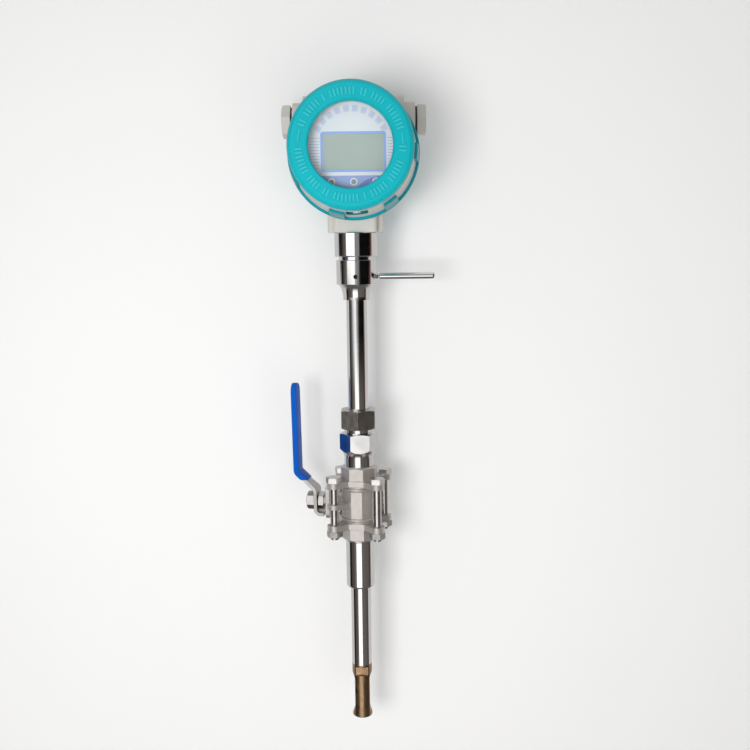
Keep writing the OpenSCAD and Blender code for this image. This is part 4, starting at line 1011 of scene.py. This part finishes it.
def make_sweep(wall_y, floor_z):
    """A white sweep: a wall close behind the meter that curves into a pale floor, clear from behind."""
    profile = [(-SWEEP_FLOOR, floor_z)]
    for i in range(SWEEP_STEPS + 1):
        angle = math.radians(90 * i / SWEEP_STEPS)
        profile.append((
            wall_y - SWEEP_BEND + SWEEP_BEND * math.sin(angle),
            floor_z + SWEEP_BEND - SWEEP_BEND * math.cos(angle)))
    profile.append((wall_y, floor_z + SWEEP_WALL))
    work = bmesh.new()
    left = [work.verts.new((-SWEEP_HALF, y, z)) for y, z in profile]
    right = [work.verts.new((SWEEP_HALF, y, z)) for y, z in profile]
    for i in range(len(profile) - 1):
        work.faces.new((left[i], right[i], right[i + 1], left[i + 1])).smooth = True
    sweep = bpy.data.objects.new("sweep", ended("sweep", work))
    bpy.context.scene.collection.objects.link(sweep)
    paper = Finish("white_paper", PAPER_TONE, roughness=0.9)
    paper.tint(paper.noise(3.0), PAPER_SHADE, most=0.5)
    mix = paper.add("ShaderNodeMixShader", Fac=paper.add("ShaderNodeNewGeometry").outputs["Backfacing"])
    paper.join(paper.surface.outputs[0], mix.inputs[1])
    paper.join(paper.add("ShaderNodeBsdfTransparent").outputs[0], mix.inputs[2])
    paper.fill(paper.tree.nodes["Material Output"], Surface=mix.outputs[0])
    sweep.data.materials.append(paper.material)
    sweep.visible_glossy = False


def make_lamp(name, place, aim, size, power):
    """A soft square lamp that lights the meter but isn't seen in the polished steel."""
    lamp = bpy.data.lights.new(name, "AREA")
    lamp.shape = "SQUARE"
    lamp.size = size
    lamp.energy = power
    obj = bpy.data.objects.new(name, lamp)
    obj.location = place
    obj.rotation_euler = (Vector(aim) - Vector(place)).to_track_quat("-Z", "Y").to_euler()
    obj.visible_glossy = False
    bpy.context.scene.collection.objects.link(obj)


# The room by direction: degrees from the camera round to its right, with a colour up to the next angle.
# UPPER_ROOM is seen by level reflections, MIDDLE_ROOM a little lower and LOWER_ROOM from low down
PALE = (0.42, 0.42, 0.42)
WHITE = (1.0, 1.0, 1.0)
SHADE = (0.002, 0.002, 0.002)
UPPER_ROOM = (
    (-180, PALE), (-104, (0.006, 0.005, 0.005)), (-82, (0.03, 0.025, 0.022)), (-70, (0.08, 0.07, 0.065)),
    (-52, WHITE), (-5, (0.17, 0.17, 0.175)), (20, SHADE), (86, (0.10, 0.045, 0.032)), (97, PALE))
MIDDLE_ROOM = (
    (-180, PALE), (-94, (0.008, 0.007, 0.007)), (-78, (0.06, 0.055, 0.052)), (-64, (0.11, 0.105, 0.10)),
    (-52, (0.32, 0.32, 0.325)), (-40, (0.52, 0.52, 0.53)), (-28, (0.68, 0.68, 0.69)),
    (-6, (0.27, 0.27, 0.27)), (6, (0.15, 0.15, 0.15)), (17, (0.02, 0.02, 0.02)), (28, SHADE),
    (80, (0.10, 0.05, 0.04)), (94, PALE))
LOWER_ROOM = (
    (-180, PALE), (-95, (0.012, 0.010, 0.009)), (-72, (0.06, 0.051, 0.046)), (-46, (0.12, 0.11, 0.10)),
    (-30, WHITE), (12, (0.09, 0.085, 0.08)), (44, (0.08, 0.072, 0.066)), (72, (0.06, 0.036, 0.03)),
    (92, PALE))
ROOM_GAIN = 1.4
# Half the width of the soft step between two bands, in degrees
BAND_STEP = 1
# Heights of a direction, from -1 to 1, over which one part of the room passes into the next
LOW_STEP = (-0.17, -0.11)
LEVEL_STEP = (-0.05, -0.02)
STEEP_STEP = (0.5, 0.8)
POLE_STEP = (-0.6, 0.6)
FLOOR_TONE = (0.08, 0.075, 0.07, 1)
CEILING_TONE = (0.5, 0.5, 0.5, 1)
# What lights the dull surfaces, and what the camera sees past the sweep
LIT_TONE = (0.365, 0.365, 0.365, 1)
BACKDROP_TONE = (0.60, 0.60, 0.605, 1)


def room_bands(room, turn, bands):
    """A colour ramp over the direction, with narrow soft steps between the bands."""
    ramp = room.add("ShaderNodeValToRGB", Fac=turn)
    stops = ramp.color_ramp.elements
    places = []
    for (start, colour), (end, _) in zip(bands, bands[1:] + ((180, None),)):
        places += [(start + BAND_STEP, colour), (end - BAND_STEP, colour)]
    while len(stops) < len(places):
        stops.new(0.5)
    for stop, (degrees, colour) in zip(stops, places):
        stop.position = (degrees + 180) / 360
        stop.color = (*colour, 1)
    return ramp.outputs["Color"]


def make_surroundings():
    """A pale room with dark flats and a white one, which polished steel shows as upright bands."""
    world = bpy.data.worlds.new("studio_room")
    bpy.context.scene.world = world
    world.use_nodes = True
    room = Nodes(world.node_tree)
    way = room.split(room.add("ShaderNodeTexCoord").outputs["Generated"])
    turn = room.math("ARCTAN2", way["X"], room.math("MULTIPLY", way["Y"], -1.0))
    share = room.ranged(turn, 0.0, 1.0, -math.pi, math.pi)
    lower, middle, upper = (room_bands(room, share, bands) for bands in (LOWER_ROOM, MIDDLE_ROOM, UPPER_ROOM))
    lower = room.blend(room.ranged(way["Z"], 0.0, 1.0, *LOW_STEP), lower, middle)
    level = room.blend(room.ranged(way["Z"], 0.0, 1.0, *LEVEL_STEP), lower, upper)
    poles = room.blend(room.ranged(way["Z"], 0.0, 1.0, *POLE_STEP), FLOOR_TONE, CEILING_TONE)
    steep = room.ranged(room.math("ABSOLUTE", way["Z"]), 0.0, 1.0, *STEEP_STEP)
    shown = room.blend(steep, level, poles)
    ray = room.add("ShaderNodeLightPath").outputs
    lit = room.blend(ray["Is Glossy Ray"], LIT_TONE, shown)
    seen = room.blend(ray["Is Camera Ray"], lit, BACKDROP_TONE)
    room.fill(room.tree.nodes["Background"], Color=seen, Strength=ROOM_GAIN)


def make_camera(studio):
    """The photograph's own view: in front, a little above the middle, tilted down and slightly rolled."""
    azimuth, tilt, roll = studio.camera_azimuth, studio.camera_tilt, studio.camera_roll
    back = Vector((
        math.sin(azimuth) * math.cos(tilt), -math.cos(azimuth) * math.cos(tilt), math.sin(tilt)))
    right = (-back).cross(Vector((0, 0, 1))).normalized()
    up = right.cross(-back)
    rolled_right = right * math.cos(roll) + up * math.sin(roll)
    rolled_up = up * math.cos(roll) - right * math.sin(roll)
    camera = bpy.data.objects.new("camera", bpy.data.cameras.new("camera"))
    camera.data.sensor_width = SENSOR_WIDTH
    camera.data.lens = studio.lens
    camera.data.clip_end = FAR_CLIP
    camera.matrix_world = Matrix.Translation(studio.camera_at) @ Matrix(
        (rolled_right, rolled_up, back)).transposed().to_4x4()
    bpy.context.scene.collection.objects.link(camera)
    bpy.context.scene.camera = camera


STEPS = ("finishes", "lever_grip", "union_ring", "threads", "cover_marks", "face_print", "studio")


class METER_PT_sidebar(bpy.types.Panel):
    """Sidebar panel with one button for each step"""

    bl_idname = "METER_PT_sidebar"
    bl_label = "Flow Meter"
    bl_space_type = "VIEW_3D"
    bl_region_type = "UI"
    bl_category = "Flow Meter"

    def draw(self, context):
        for step in STEPS:
            self.layout.operator("meter." + step)
        scene = context.scene
        for group in (scene.meter_finish, scene.meter_detail, scene.meter_studio):
            box = self.layout.box()
            for name in group.__annotations__:
                box.prop(group, name)


CLASSES = (FinishSettings, DetailSettings, StudioSettings, METER_OT_finishes, METER_OT_lever_grip,
           METER_OT_union_ring, METER_OT_threads, METER_OT_cover_marks, METER_OT_face_print,
           METER_OT_studio, METER_PT_sidebar)


def register():
    for cls in CLASSES:
        bpy.utils.register_class(cls)
    bpy.types.Scene.meter_finish = bpy.props.PointerProperty(type=FinishSettings)
    bpy.types.Scene.meter_detail = bpy.props.PointerProperty(type=DetailSettings)
    bpy.types.Scene.meter_studio = bpy.props.PointerProperty(type=StudioSettings)


def unregister():
    del bpy.types.Scene.meter_finish
    del bpy.types.Scene.meter_detail
    del bpy.types.Scene.meter_studio
    for cls in reversed(CLASSES):
        bpy.utils.unregister_class(cls)


def main():
    register()
    for step in STEPS:
        getattr(bpy.ops.meter, step)()


if __name__ == "__main__":
    main()
